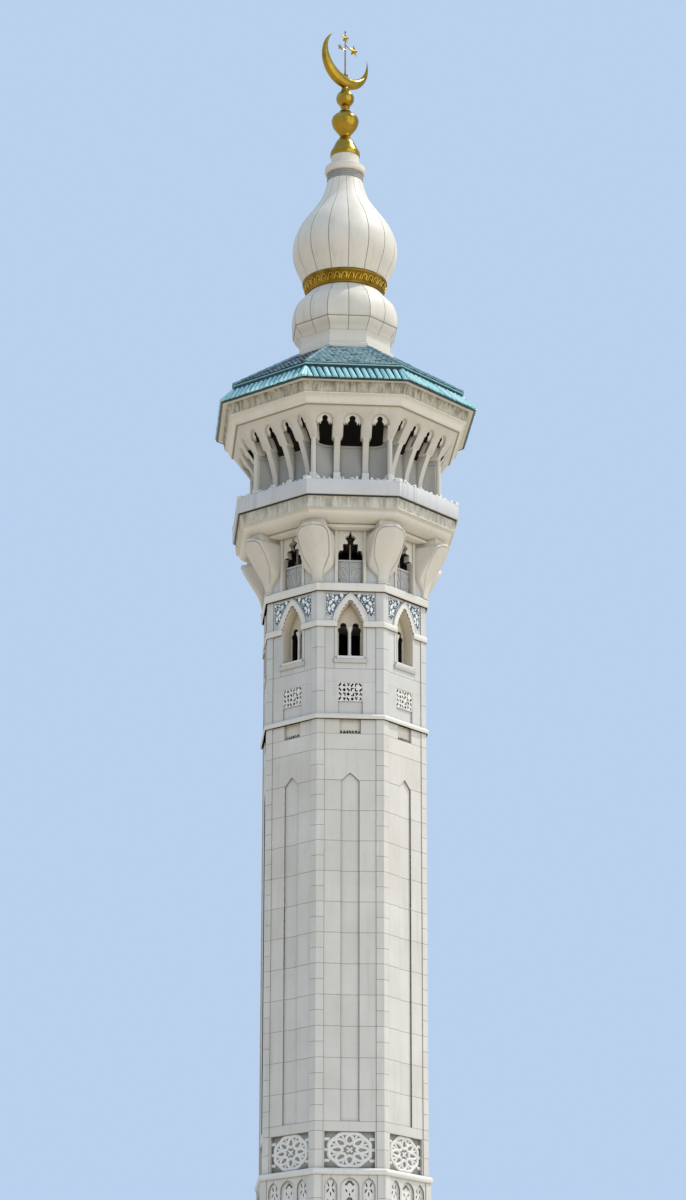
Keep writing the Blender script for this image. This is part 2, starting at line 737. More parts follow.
def cusped_hole(bottom, half, height):
    """A hole like the head of a small trefoil arch."""
    outer = foiled([(half, 0.0), (half * 0.62, height * 0.55), (0.0, height)], 0.22, 3)
    low, high = (half * 0.5, 0.0), (half * 0.4, height * 0.28)
    inner = [(-low[0], 0.0), (-high[0], high[1]), (0.0, height * 0.5), high, low]
    return [(u, bottom + z) for u, z in symmetric(outer) + inner]


def leaf_pair(centre, apart, z, length, width, angle, turn):
    """Two leaves that mirror each other about an upright line."""
    return [leaf_outline(centre + s * apart, z, length, width, angle + s * turn) for s in (-1, 1)]


def make_base_screens():
    """Pierced and carved screens in the blind arches."""
    face = BASE_FRONT - 0.065
    parts = []
    for centre, half in BASE_PANELS:
        outlines = [pointed(half - 0.006, BASE_SILL + 0.005, BASE_SPRING, BASE_APEX - 0.008, centre)]
        level = BASE_APEX - 0.13
        while level > BASE_SILL + 0.35:
            if centre:
                outlines += leaf_pair(centre, 0.06, level - 0.04, 0.14, 0.04, 90, -20)
                outlines += leaf_pair(centre, 0.075, level - 0.2, 0.13, 0.045, 90, 28)
                outlines.append(leaf_outline(centre, level - 0.29, 0.12, 0.035, 90))
            else:
                outlines.append(cusped_hole(level - 0.06, 0.125, 0.14))
                outlines += leaf_pair(centre, 0.085, level - 0.2, 0.1, 0.045, 0, 60)
                outlines.append(leaf_outline(0.0, level - 0.3, 0.09, 0.04, 90))
            level -= 0.45
        parts.append((on_faces(plate(outlines, BASE - 0.128, face, 0.005)), CARVED))
        rim = pointed(half - 0.012, BASE_SILL + 0.012, BASE_SPRING, BASE_APEX - 0.016, centre)
        parts.append((on_faces(band(rim, domed(0.014, 0.02), face, closed=True)), MARBLE_TRIM))
    build("base_screens", parts)


# The shaft

ROSETTE = (0.685, 4.49, 5.48)
LANCET = (0.258, 15.197, 15.441)
LANCET_SHOULDER = (0.87, 0.2)
SLOT = (0.3, 16.58)
SLOT_JOINT = 16.566
COURSE = 0.862
COURSES_FROM = 5.745


def make_rosettes():
    """An interlaced openwork rosette in each square recess over the lower ledge."""
    half, bottom, top = ROSETTE
    plane = SHAFT - 0.11
    middle = (bottom + top) / 2
    wide, tall = 0.565, 0.452

    def place(radius, angle):
        x, y = polar(radius, angle)
        return wide * x, middle + tall * y

    def loop(radius_of, count=96):
        return [place(radius_of(a), a) for a in (math.tau * i / count for i in range(count))]

    rim = loop(lambda a: 1 + 0.035 * math.cos(8 * a + math.pi))
    bands = [band(rim, domed(0.054, 0.058), plane, closed=True)]
    for sign, out in ((1, 0.05), (-1, 0.046)):
        wave = loop(lambda a: 0.56 + sign * 0.27 * math.cos(4 * a) + 0.05 * math.cos(8 * a), 128)
        bands.append(band(wave, domed(0.042, out), plane, closed=True))
    for angle in (math.radians(45), math.radians(135)):
        cross = [place(0.2 * t, angle) for t in (-1, -0.5, 0, 0.5, 1)]
        bands.append(band(cross, domed(0.03, 0.042), plane))
    for i in range(8):
        spoke = [place(radius, math.radians(22.5 + 45 * i)) for radius in (0.62, 0.795, 0.97)]
        bands.append(band(spoke, domed(0.034, 0.038), plane))
    for sign in (-1, 1):
        for level in (middle - 0.29, middle, middle + 0.29):
            tie = [(sign * 0.53, level), (sign * (half - 0.006), level)]
            bands.append(band(tie, domed(0.045, 0.045), plane))
    ground = rect(-half + 0.004, half - 0.004, bottom + 0.002, top - 0.004)
    build("rosettes", [
        (on_faces(slab(ground, plane - 0.02, plane + 0.008)), RECESS),
        (on_faces(merged(bands)), CARVED),
    ], smooth=50)


def make_shaft():
    """Marble slabs on the shaft: a pilaster on each corner, and a tall lancet sunk in each face."""
    front, back, edge, foot = SHAFT_FRONT, SHAFT - 0.135, SHAFT_EDGE, COURSES_FROM
    rows = [foot + COURSE * i for i in range(12)]
    half, spring, apex = LANCET
    half -= COVER
    head = keel_side(half, spring, apex, LANCET_SHOULDER)
    turned_rows = [SHAFT_FOOT, 4.98, ROSETTE[2], foot]
    turned_rows += [foot + COURSE / 2 * i for i in range(1, 25)] + [SLOT_JOINT, MID_LEDGE]
    stile = rect(ROSETTE[0] - COVER, edge - JOINT / 2, SHAFT_FOOT + 0.002, ROSETTE[2])
    over_rosette = rect(-edge + JOINT / 2, edge - JOINT / 2, ROSETTE[2] - COVER, foot - JOINT / 2)
    beside = [(half, foot), (edge, foot), (edge, apex + 0.5), (0.0, apex + 0.5)] + head[::-1]
    beside = clip(beside, 1, rows[11], -1)
    slot_half, slot_foot = SLOT[0] - COVER, SLOT[1] - COVER
    over = [(edge, spring), (edge, MID_LEDGE), (slot_half, MID_LEDGE), (slot_half, slot_foot)]
    over += [(-u, z) for u, z in over[::-1]] + [(-u, z) for u, z in head] + head[::-1][1:]
    top = inset(rect(slot_half, edge, SLOT_JOINT, MID_LEDGE - 0.001), JOINT / 4)
    sunk = keel(half + 2 * COVER, foot, spring, apex + 2 * COVER, LANCET_SHOULDER)
    sunk_rows = rows[:11] + [apex + 2 * COVER]
    build("shaft_cladding", [
        (corner_stones(SHAFT, turned_rows, PILASTER_DEPTH), MARBLE),
        (on_faces(both(slab(stile, back, front))), MARBLE),
        (on_faces(slab(over_rosette, back, front)), MARBLE),
        (on_faces(both(stones(beside, rows, (0.0, edge), back, front))), MARBLE),
        (on_faces(stones(over, [rows[11], 16.109, SLOT_JOINT], (-edge, edge), back, front)), MARBLE),
        (on_faces(both(slab(top, back, front))), MARBLE),
        (on_faces(stones(sunk, sunk_rows, (-half - 1, half + 1), SHAFT - 0.13, front - 0.045)), MARBLE),
    ])
    make_slots()


def make_slots():
    """The sunk slots under the middle ledge, each with a row of fine holes at its foot."""
    half, foot = SLOT
    plane = SHAFT - 0.13
    holes = pierced(random.Random(7), -half + 0.014, half - 0.014, foot + 0.006, foot + 0.112, 7, 1, 0.012)
    outline = rect(-half, half, foot, MID_LEDGE - 0.002)
    behind = rect(-half, half, foot, foot + 0.2)
    build("slot_screens", [
        (on_faces(plate([outline] + holes, plane + 0.012, plane + 0.04, 0.002)), SCREEN),
        (on_faces(slab(behind, plane - 0.004, plane + 0.006, 0.001)), INSIDE),
    ])


# The window storey

CARVED_SQUARE = (0.352, 17.509, 18.064)
NICHE = (0.372, 18.8, 19.8, 20.48)
NICHE_SHOULDER = (0.81, 0.5)
NICHE_PLANE = 1.88
HOOD = (0.5, 19.9, 20.7)
HOOD_SHOULDER = (0.88, 0.48)
IMPOST = (19.68, 19.858)
MOSAIC = (0.712, 19.995, 20.694)


def make_window_storey():
    """Slabs round the carved square, the niche and the pointed hood."""
    front, back = SHAFT_FRONT, SHAFT - 0.14
    edge = SHAFT_EDGE - JOINT / 2
    half, square_foot, square_top = CARVED_SQUARE
    niche = NICHE[0] - COVER
    jamb, panel_joint = 0.446, 18.459
    mosaic_half, mosaic_foot, mosaic_top = MOSAIC
    side = [
        slab(rect(half - COVER, edge, WINDOW_FOOT, square_top - 0.002), back, front),
        slab(rect(jamb + JOINT / 2, edge, panel_joint + JOINT / 2, IMPOST[0]), back, front),
        slab(rect(niche, jamb, NICHE[1], IMPOST[0]), back - 0.1, front + 0.012),
        slab(rect(HOOD[0] - 0.01, edge, IMPOST[1] - 0.01, mosaic_foot), back, front),
        slab(rect(mosaic_half, edge, mosaic_foot, STRING), back, front),
    ]
    middle = [
        slab(rect(-edge, edge, square_top - COVER, panel_joint - JOINT / 2), back, front),
        slab(rect(-jamb, jamb, panel_joint + JOINT / 2, NICHE[1] + 0.002), back, front),
        slab(rect(-half, half, WINDOW_FOOT, square_foot), SHAFT - 0.08, SHAFT - 0.065 + CLADDING),
        slab(rect(-mosaic_half, mosaic_half, mosaic_top, STRING), back, front),
    ]
    levels = [WINDOW_FOOT, 17.79, panel_joint, 19.07, IMPOST[0]]
    build("window_cladding", [
        (corner_stones(SHAFT, levels, PILASTER_DEPTH), MARBLE_UPPER),
        (corner_stones(SHAFT, [IMPOST[1], STRING], PILASTER_DEPTH), MARBLE_UPPER),
        (on_faces(both(merged(side))), MARBLE_UPPER),
        (on_faces(merged(middle)), MARBLE_UPPER),
    ])
    make_carved_squares()
    make_niches()
    make_hoods()
    make_spandrels()
    impost = [
        (2.15, 19.678), (2.285, 19.684), (2.299, 19.705), (2.301, 19.83), (2.28, 19.864), (2.15, 19.864),
    ]
    ends = [[(niche, n, z) for n, z in impost], [(n * HALF_SIDE, n, z) for n, z in impost]]
    build("impost_band", [(on_faces(both(prism(ends))), MARBLE_TRIM)], smooth=40)


def make_carved_squares():
    """White fretwork over a dark hollow, in the square sunk over the middle ledge."""
    half, foot, top = CARVED_SQUARE
    plane = SHAFT - PANEL_SINK - 0.07
    holes = pierced(random.Random(21), -half + 0.006, half - 0.006, foot + 0.008, top - 0.008, 6, 4, 0.034)
    outline = rect(-half, half, foot, top)
    build("carved_squares", [
        (on_faces(plate([outline] + holes, plane + 0.03, plane + 0.066, 0.003)), CARVED),
        (on_faces(slab(outline, plane - 0.004, plane + 0.005, 0.001)), INSIDE),
    ])


def make_niches():
    """The niche round each twin window: lining, window heads on a colonnette, and a stepped sill."""
    half, foot, spring, apex = NICHE
    plane = NICHE_PLANE
    outer = keel(half - 0.0015, foot + 0.001, spring, apex - 0.002, NICHE_SHOULDER)
    inner = keel(half - 0.014, foot + 0.012, spring, apex - 0.02, NICHE_SHOULDER)
    lining = plate([outer, inner], plane + 0.003, SHAFT_FRONT + 0.002, 0.003)
    build("window_niches", [(on_faces(lining), CREAM)])

    light = [(0.13, 18.93)] + foiled([(0.13, 19.62), (0.078, 19.775)], 0.3, 5)
    light += foiled([(0.078, 19.775), (0.0, 19.91)], 0.3, 6)[1:]
    wall = keel(half - 0.012, foot + 0.01, spring, apex - 0.02, NICHE_SHOULDER)
    lights = [symmetric(light, -0.175), symmetric(light, 0.175)]
    heads = plate([wall] + lights, plane + 0.002, plane + 0.04, 0.004)
    colonnette = [
        (0.0, 18.9), (0.06, 18.9), (0.06, 18.94), (0.05, 18.955), (0.042, 18.98), (0.04, 19.3),
        (0.039, 19.55), (0.048, 19.56), (0.048, 19.58), (0.042, 19.59), (0.053, 19.63), (0.074, 19.69),
        (0.084, 19.73), (0.084, 19.76), (0.0, 19.76),
    ]
    build("window_tracery", [
        (on_faces(heads), CREAM),
        (on_faces(moved(turned(colonnette, 16), n=plane + 0.075)), MARBLE_TRIM),
    ], smooth=40)

    inside = [(plane, 0.0), (plane, 0.108), (2.2, 0.05), (2.25, 0.03), (2.25, 0.0)]
    upper = [(2.16, -0.056), (2.262, -0.056), (2.27, -0.03), (2.266, 0.026), (2.25, 0.034), (2.16, 0.034)]
    lower = [(2.16, -0.17), (2.272, -0.17), (2.282, -0.15), (2.297, -0.075), (2.285, -0.058), (2.16, -0.055)]
    steps = ((inside, half - 0.016, SILL), (upper, half + 0.006, MARBLE_TRIM), (lower, 0.458, SILL))
    build("window_sills", [
        (on_faces(cut_bar([(n, foot + z) for n, z in section], -reach, reach)), material)
        for section, reach, material in steps
    ])


def hood_side(grow, rise):
    """The right side of a hood's outline, grown a little."""
    return keel_side(HOOD[0] + grow, HOOD[1], HOOD[2] + rise, HOOD_SHOULDER, 14)


def make_hoods():
    """The white keel arch over each niche: a bead, a flat band, and a scalloped inner edge."""
    foot, inner, crown = IMPOST[1] - 0.012, 0.345, 20.475
    outside = [(HOOD[0] + 0.003, foot)] + hood_side(0.003, 0.002)
    cusps = keel_side(inner, 19.8, crown, NICHE_SHOULDER, 20)[2::3]
    scallops = [(inner, foot), (inner, 19.87)] + foiled(cusps, 0.32, 5)[:-1] + [(0.0, crown)]
    outline = symmetric(outside) + symmetric(scallops)[::-1]
    bead = [(HOOD[0] - 0.018, foot)] + hood_side(-0.018, -0.024)
    front = SHAFT_FRONT + 0.034
    build("window_hoods", [
        (on_faces(plate([outline], SHAFT_FRONT - 0.11, front, 0.008)), MARBLE_TRIM),
        (on_faces(band(symmetric(bead), domed(0.016, 0.012), front)), MARBLE_TRIM),
    ], smooth=40)


def make_spandrels():
    """Glazed mosaic beside each hood: white and pale blue leaves on a dark ground, in a banded frame."""
    half, foot, top = MOSAIC
    plane = SHAFT_FRONT - 0.008
    arch = [p for p in hood_side(-0.02, 0.0) if p[1] < top]
    field = clip(arch + [(0.0, top), (half, top), (half, HOOD[1])], 1, foot, 1)
    parts = [(on_faces(both(slab(field, SHAFT - 0.03, plane, 0.002))), MOSAIC_DARK)]
    for rim, lift, material in ((0.008, 0.002, MOSAIC_WHITE), (0.026, 0.003, MOSAIC_DARK)):
        inner = [p for p in hood_side(rim * 0.7 + 0.01, rim * 1.1) if p[1] < top - rim]
        inner += [(inner[-1][0] - 0.01, top - rim), (half - rim, top - rim), (half - rim, HOOD[1])]
        layer = slab(clip(inner, 1, foot + rim, 1), plane - 0.01, plane + lift, 0.0005)
        parts.append((on_faces(both(layer)), material))
    edge = hood_side(0.05, 0.04)
    source = random.Random(29)
    placed = []
    for size in (0.12,) * 40 + (0.08,) * 120 + (0.045,) * 260:
        u, z = source.uniform(0.2, half - 0.04), source.uniform(foot + 0.04, top - 0.035)
        limit = max([a for a, b in edge if b >= z - 0.01] or [0.0])
        reach = size * 0.4
        if u - reach < limit or u + reach > half - 0.03 or z + reach > top - 0.025:
            continue
        if any(math.hypot(u - a, z - b) < (size + other) * 0.5 for a, b, other in placed):
            continue
        placed.append((u, z, size))
        leaf = leaf_outline(u, z, size * 1.25, size * 0.78, source.uniform(0, 180))
        material = MOSAIC_WHITE if source.random() < 0.62 else MOSAIC_BLUE
        parts.append((on_faces(both(slab(leaf, plane - 0.002, plane + 0.012, 0.002))), material))
    build("spandrel_mosaic", parts)


# The corbelled storey

KEYHOLE = [
    (0.35, 21.66), (0.347, 21.86), (0.338, 21.92), (0.31, 21.948), (0.22, 21.956), (0.205, 21.99),
    (0.214, 22.06), (0.209, 22.15), (0.15, 22.152), (0.087, 22.15), (0.078, 22.175), (0.082, 22.22),
    (0.12, 22.28), (0.153, 22.325), (0.12, 22.375), (0.06, 22.41), (0.028, 22.44), (0.02, 22.47),
    (0.026, 22.5), (0.0, 22.53),
]
GUARD_TOP = 21.71


def make_corbel_walls():
    """The corbelled storey's wall: a stepped keyhole in each face, between two strips."""
    reach, foot, head = 0.93, CORBEL_FOOT, CORNICE + 0.02
    frame_round = [(-reach, foot), (-reach, head), (reach, head), (reach, foot)]
    outline = symmetric([(0.35, foot)] + KEYHOLE) + frame_round
    grown = [(u + 0.006 if u else 0.0, z + 0.004) for u, z in KEYHOLE]
    wider = symmetric([(0.356, foot)] + grown) + frame_round

    def underside(points):
        """The undersides of the keyhole's steps, which only see the dark inside."""
        deep = np.hypot(points[:, 0], points[:, 1])
        return np.ptp(deep) > 0.12 and np.ptp(points[:, 2]) < 0.025 and 21.9 < points[0, 2] < 22.54

    strip = slab(rect(0.362, 0.455, foot, head), SHAFT - 0.02, SHAFT + 0.035, 0.01)
    foot_panel = slab(rect(0.46, 0.9, foot, 21.5), SHAFT - 0.02, SHAFT + 0.006, 0.003)
    lining = plate([rect(-0.75, 0.75, foot, CORNICE), rect(-0.36, 0.36, 21.6, 22.53)], 1.76, 1.855, 0.004)
    build("corbel_walls", [
        (on_faces(plate([outline], 2.06, SHAFT, 0.006)), BRACKET, INSIDE, underside),
        (on_faces(plate([wider], 1.86, 2.056, 0.004)), INSIDE),
        (on_faces(both(strip)), BRACKET),
        (on_faces(both(foot_panel)), GUARD_GREY),
        (on_faces(lining), INSIDE),
    ], replaces=quarters("corbel_wall"), smooth=40)
    make_guards()
    make_brackets()


GUARD_SCROLLS = (
    ((0.05, 21.0), (0.1, 21.12), (0.22, 21.18), (0.28, 21.28), (0.22, 21.36), (0.15, 21.32), (0.17, 21.26)),
    ((0.04, 21.3), (0.07, 21.42), (0.17, 21.5), (0.28, 21.5), (0.3, 21.59), (0.22, 21.61)),
    ((0.3, 21.0), (0.24, 21.08), (0.3, 21.16), (0.31, 21.3), (0.3, 21.42)),
)
GUARD_LEAVES = (
    (0.17, 21.08, 0.13, 0.05, 20), (0.12, 21.22, 0.13, 0.05, 70),
    (0.2, 21.43, 0.13, 0.05, 30), (0.11, 21.55, 0.12, 0.045, 60),
)


def make_guards():
    """The carved panel in the foot of each keyhole, with its lip, mullion and bar."""
    plane, half, top = 2.12, 0.355, GUARD_TOP
    lip = [
        (plane - 0.1, top - 0.05), (plane + 0.02, top - 0.05), (plane + 0.035, top - 0.03),
        (plane + 0.03, top - 0.005), (plane + 0.01, top), (plane - 0.1, top),
    ]
    carving = [band(smooth_line(points, 5), domed(0.016, 0.024), plane) for points in GUARD_SCROLLS]
    carving += [slab(leaf_outline(*leaf), plane - 0.01, plane + 0.018, 0.008) for leaf in GUARD_LEAVES]
    panel = rect(-half, half, CORBEL_FOOT, top - 0.02)
    mullion = rect(-0.018, 0.018, CORBEL_FOOT, top - 0.04)
    bar = rect(-0.022, 0.022, top - 0.01, 22.2)
    build("keyhole_guards", [
        (on_faces(slab(panel, plane - 0.1, plane)), GUARD_GREY),
        (on_faces(cut_bar(lip, -half, half)), GUARD_GREY),
        (on_faces(both(merged(carving))), GUARD_GREY),
        (on_faces(slab(mullion, plane - 0.02, plane + 0.03, 0.006)), GUARD_GREY),
        (on_faces(slab(bar, 2.03, 2.07, 0.006)), BAR),
    ], smooth=45)


# Levels of a bracket: its height, half width of the moulding and of the shield, front of the ridge, back of
# the side, and how deep the groove beside the shield is
BRACKET_ROWS = (
    (20.965, 0.165, 0.15, 2.47, 2.4, 0.0),
    (21.12, 0.165, 0.15, 2.48, 2.4, 0.0),
    (21.19, 0.18, 0.15, 2.495, 2.4, 0.0),
    (21.25, 0.225, 0.152, 2.51, 2.39, 0.012),
    (21.33, 0.31, 0.165, 2.53, 2.38, 0.022),
    (21.45, 0.41, 0.215, 2.57, 2.36, 0.028),
    (21.52, 0.44, 0.25, 2.6, 2.36, 0.03),
    (21.71, 0.465, 0.355, 2.7, 2.42, 0.03),
    (22.04, 0.488, 0.425, 2.9, 2.55, 0.03),
    (22.2, 0.49, 0.44, 3.0, 2.64, 0.03),
    (22.33, 0.484, 0.42, 3.07, 2.76, 0.03),
    (22.4, 0.465, 0.37, 3.105, 2.83, 0.03),
    (22.44, 0.435, 0.3, 3.122, 2.88, 0.03),
    (22.46, 0.41, 0.2, 3.13, 2.9, 0.03),
    (22.47, 0.395, 0.0, 3.135, 2.92, 0.03),
    (22.485, 0.37, 0.0, 3.145, 2.93, 0.0),
    (22.53, 0.28, 0.0, 3.158, 2.98, 0.0),
    (22.555, 0.2, 0.0, 3.155, 3.0, 0.0),
    (22.565, 0.12, 0.0, 3.12, 2.98, 0.0),
)
BRACKET_BACK = 2.0


def bracket_section(z, half, shield, front, side, groove):
    """A level cut through a bracket, in (across, out, z) from its corner."""
    def slope(across):
        return front - 0.36 * (math.hypot(across, 0.06) - 0.06)

    wide = half - shield
    lip = min(0.03, 0.4 * wide)
    side_step = 0.2 * (wide - lip)
    swell = 0.012 if shield else 0.0
    right = [(shield * s, slope(shield * s) + swell * (1 - s ** 4)) for s in (0, 0.3, 0.6, 0.8, 0.93, 1)]
    if not shield:
        right[0] = (0.0, slope(0.0) - groove)
    right += [(shield + share * lip, slope(shield) - groove) for share in (0.35, 0.75)]
    nose = slope(shield + lip)
    right += [
        (shield + lip, nose - 0.012), (shield + lip + side_step, nose - 0.002),
        (half - side_step, slope(half) - 0.006), (half - 0.003, slope(half) - 0.03),
        (half, min(side, slope(half) - 0.05)), (0.9 * half, BRACKET_BACK),
    ]
    return [(-u, n, z) for u, n in right[:0:-1]] + [(u, n, z) for u, n in right]


def make_brackets():
    """The swelling bracket on each corner: a shield with a soft ridge, on a curled moulding."""
    rings = []
    for low, high in zip(BRACKET_ROWS, BRACKET_ROWS[1:]):
        count = max(int((high[0] - low[0]) / 0.03), 1) if high[2] or not low[2] else 3
        for i in range(count):
            rings.append(bracket_section(*(a + (b - a) * i / count for a, b in zip(low, high))))
    rings.append(bracket_section(*BRACKET_ROWS[-1]))
    foot = [
        (0.19, 2.42), (0.19, 2.475), (0.0, 2.545), (-0.19, 2.475), (-0.19, 2.42), (-0.12, 2.0), (0.12, 2.0),
    ]
    bed = [(-0.34, 2.3), (0.34, 2.3), (0.34, 2.86), (0.0, 2.98), (-0.34, 2.86)]
    build("corner_brackets", [
        (on_corners(prism(rings)), BRACKET),
        (on_corners(block(foot, CORBEL_FOOT, CORBEL_FOOT + 0.05, 0.015)), BRACKET),
        (on_corners(block(bed, 22.44, 22.76, 0.008)), BRACKET),
    ], smooth=42)


# The gallery

RIB, RIB_SIDE = 0.035, 0.02


def frieze_ring(profile, count, low, high, depth):
    """A ring whose face is fluted between two heights, with an upright rib between each two flutes."""
    def push(u, n, z):
        if not low <= z <= high:
            return 0.0
        width = 2 * n * HALF_SIDE / count
        place = ((u + n * HALF_SIDE) / width) % 1.0
        away = min(place, 1 - place) * width
        rise = min(max((away - RIB) / RIB_SIDE, 0.0), 1.0)
        scoop = 0.35 + 0.65 * math.sin(math.pi * min(max((away - RIB) / (width - 2 * RIB), 0), 1)) ** 0.7
        arch = min(1.0, max(0.0, (high - z) / 0.06)) ** 0.5
        return -depth * rise * scoop * arch

    width = 2.0 / count
    rib, side = (size / (max(n for n, _ in profile) * HALF_SIDE) for size in (RIB, RIB_SIDE))
    shares = []
    for start in (-1 + i * width for i in range(count)):
        shares += [start, start + rib * 0.99, start + rib + side]
        shares += [start + width * t for t in (0.3, 0.42, 0.58, 0.7)]
        shares += [start + width - rib - side, start + width - rib * 0.99]
    return ring(profile, shares, push)


def make_gallery_cornice():
    """The cornice under the gallery: soffit, fillet, a swelling ovolo, a fluted frieze and a drip."""
    lower = [
        (ROOM, CORNICE), (2.455, CORNICE), (2.465, 22.558), (2.52, 22.562), (2.528, 22.57), (2.528, 22.645),
        (2.52, 22.655), (2.5, 22.664), (2.6, 22.67), (2.69, 22.684), (2.76, 22.7), (2.83, 22.726),
        (2.89, 22.76), (2.935, 22.796), (2.968, 22.838), (2.984, 22.88), (2.988, 22.905), (3.012, 22.912),
        (3.03, 22.922), (3.03, 22.945), (3.075, 22.955), (3.0, 22.965), (ROOM, 22.965),
    ]
    frieze = [
        (2.95, 22.955), (3.076, 22.955), (3.08, 22.99), (3.083, 23.06), (3.086, 23.13), (3.089, 23.19),
        (3.092, 23.235), (3.095, 23.26), (3.098, 23.275), (3.098, 23.283), (2.95, 23.283),
    ]
    drip = [
        (ROOM, 22.98), (2.96, 22.98), (2.96, 23.27), (3.11, 23.276), (3.132, 23.284),
        (3.134, GALLERY_FLOOR - 0.002), (3.12, GALLERY_FLOOR), (ROOM, GALLERY_FLOOR),
    ]
    build("gallery_cornice_moulding", [
        (ring(lower), SOFFIT),
        (frieze_ring(frieze, 7, 22.98, 23.265, 0.022), FRIEZE),
        (ring(drip), DRIP),
    ], replaces=["gallery_cornice"], smooth=35)
    make_upstand()


UPSTAND_TOP = 23.775


def make_upstand():
    """The white band round the gallery floor, with small lumps on its top and blocks on the corners."""
    top, count = UPSTAND_TOP, 14
    profile = [
        (3.02, GALLERY_FLOOR + 0.002), (3.175, GALLERY_FLOOR + 0.002), (3.185, 23.33), (3.185, top - 0.03),
        (3.175, top - 0.01), (3.15, top), (3.03, top), (3.02, top - 0.01),
    ]
    source = random.Random(5)
    lumps = []
    for face in range(FACES):
        for i in range(count):
            u = -1.1 + 2.2 * (i + 0.5) / count + source.uniform(-0.05, 0.05)
            size, tall = source.uniform(0.03, 0.08), source.uniform(0.03, 0.1)
            n = 3.125 + source.uniform(-0.03, 0.03)
            lean = source.uniform(-0.02, 0.02)
            rings = []
            for level, share in ((-0.01, 1.0), (0.35, 0.96), (0.75, 0.7), (1.0, 0.3)):
                circle = [polar(size * share, math.tau * j / 7) for j in range(7)]
                rings.append([(u + lean * level + x, n + 0.6 * y, top + tall * level) for x, y in circle])
            lumps.append(on_face(prism(rings), face))
    outer, inner, wide = 3.192, 2.98, 0.13
    plan = corner_plan((outer, outer * HALF_SIDE - wide), (inner, inner * HALF_SIDE - wide))
    build("gallery_upstand_band", [
        (ring(profile), UPSTAND),
        (merged(lumps), MARBLE_TRIM),
        (on_corners(block(plan, top - 0.05, top + 0.065, 0.015)), MARBLE_TRIM),
    ], replaces=["gallery_upstand"])


GUARD_INNER, GUARD_OUTER, GUARD_WALL_TOP = 2.17, 2.29, 25.1


def make_guard_wall():
    """The wall behind the piers, with a coping, and a wing that runs out to each corner column."""
    inner, outer, top = GUARD_INNER, GUARD_OUTER, GUARD_WALL_TOP
    wall = [
        (inner, GALLERY_STAND), (2.3, GALLERY_STAND), (2.3, 23.82), (2.289, 23.84), (2.289, top - 0.065),
        (inner, top - 0.065),
    ]
    coping = [
        (inner, top - 0.07), (outer, top - 0.07), (2.302, top - 0.062), (2.312, top - 0.045),
        (2.314, top - 0.015), (2.3, top), (inner, top),
    ]
    side = [(0.44, outer), (0.3, 2.365), (0.2, 2.44), (0.13, 2.54), (0.09, 2.65), (0.07, 2.76)]
    wing = side[::-1] + [(0.44, 2.2), (-0.44, 2.2)] + [(-u, n) for u, n in side]
    build("gallery_guard_wall", [
        (ring(wall), GUARD_WALL),
        (ring(coping), GUARD_WALL),
        (on_corners(block(wing, GALLERY_STAND, top - 0.065, 0.004)), GUARD_WALL),
        (on_corners(block(inset(wing, -0.022), top - 0.066, top, 0.01)), GUARD_WALL),
    ], replaces=["gallery_guard"], smooth=40)


# Bays and the piers between them: (centre, half width) on the faces along the axes, and on those between
THREE_BAYS = ((-0.785, 0.225), (0.0, 0.258), (0.785, 0.225))
FOUR_BAYS = ((-0.886, 0.12), (-0.31, 0.165), (0.31, 0.165), (0.886, 0.12))
BETWEEN_THREE = ((-0.41, 0.15), (0.41, 0.15))
BETWEEN_FOUR = ((-0.62, 0.145), (0.0, 0.145), (0.62, 0.145))
PIER_JOINT, PIER_HALF = 25.24, 0.085
PIER_FRONT = ((23.7, 2.34), (24.31, 2.35), (24.52, 2.38), (24.9, 2.522), (25.24, 2.69))
ARCADE_FOOT, ARCADE_LEAN = 2.69, 0.6714
ARCH_SPRING, ARCH_CROWN = 25.548, 25.815
BAY_HEAD = (
    (1.0, -0.03), (1.0, 0.03), (0.92, 0.045), (0.85, 0.004), (0.78, 0.006), (0.74, 0.05), (0.66, 0.056),
    (0.6, 0.014), (0.53, 0.016), (0.49, 0.07), (0.38, 0.084), (0.3, 0.11), (0.3, 0.128), (0.36, 0.155),
    (0.34, 0.19), (0.2, 0.222), (0.0, 0.236),
)


def round_head(centre, reach, foot, crown):
    """A round arch from its left foot to its right foot."""
    steps = 14
    turns = [polar(1, math.pi - math.pi * i / steps) for i in range(steps + 1)]
    return [(centre + reach * x, foot + (crown - foot) * y) for x, y in turns]


def bay_opening(centre, half, grow=0.0):
    """A bay's cusped head: full width, two teeth on each side, and a round lobe on a neck."""
    side = [(half * share, ARCH_SPRING + rise) for share, rise in BAY_HEAD]
    return symmetric([(u + grow * min(1.0, u / 0.04), z + grow) for u, z in side], centre)


def leaned(part):
    """A shape whose n is counted from the arcade's leaning face, put in its place."""
    points = part[0].copy()
    points[:, 1] += ARCADE_FOOT + ARCADE_LEAN * (points[:, 2] - PIER_JOINT)
    return points, part[1]


def pier_front(z):
    """How far a pier's front stands out at a height, up to its joint with the arcade."""
    return float(np.interp(z, *zip(*PIER_FRONT)))


def post(rows, arris):
    """An upright post from rows of (height, half width, front, back), with its corners taken off."""
    rings = []
    for z, half, front, back in rows:
        rings.append([
            (-half, back, z), (half, back, z), (half, front - arris, z), (half - arris, front, z),
            (-half + arris, front, z), (-half, front - arris, z),
        ])
    return prism(rings)


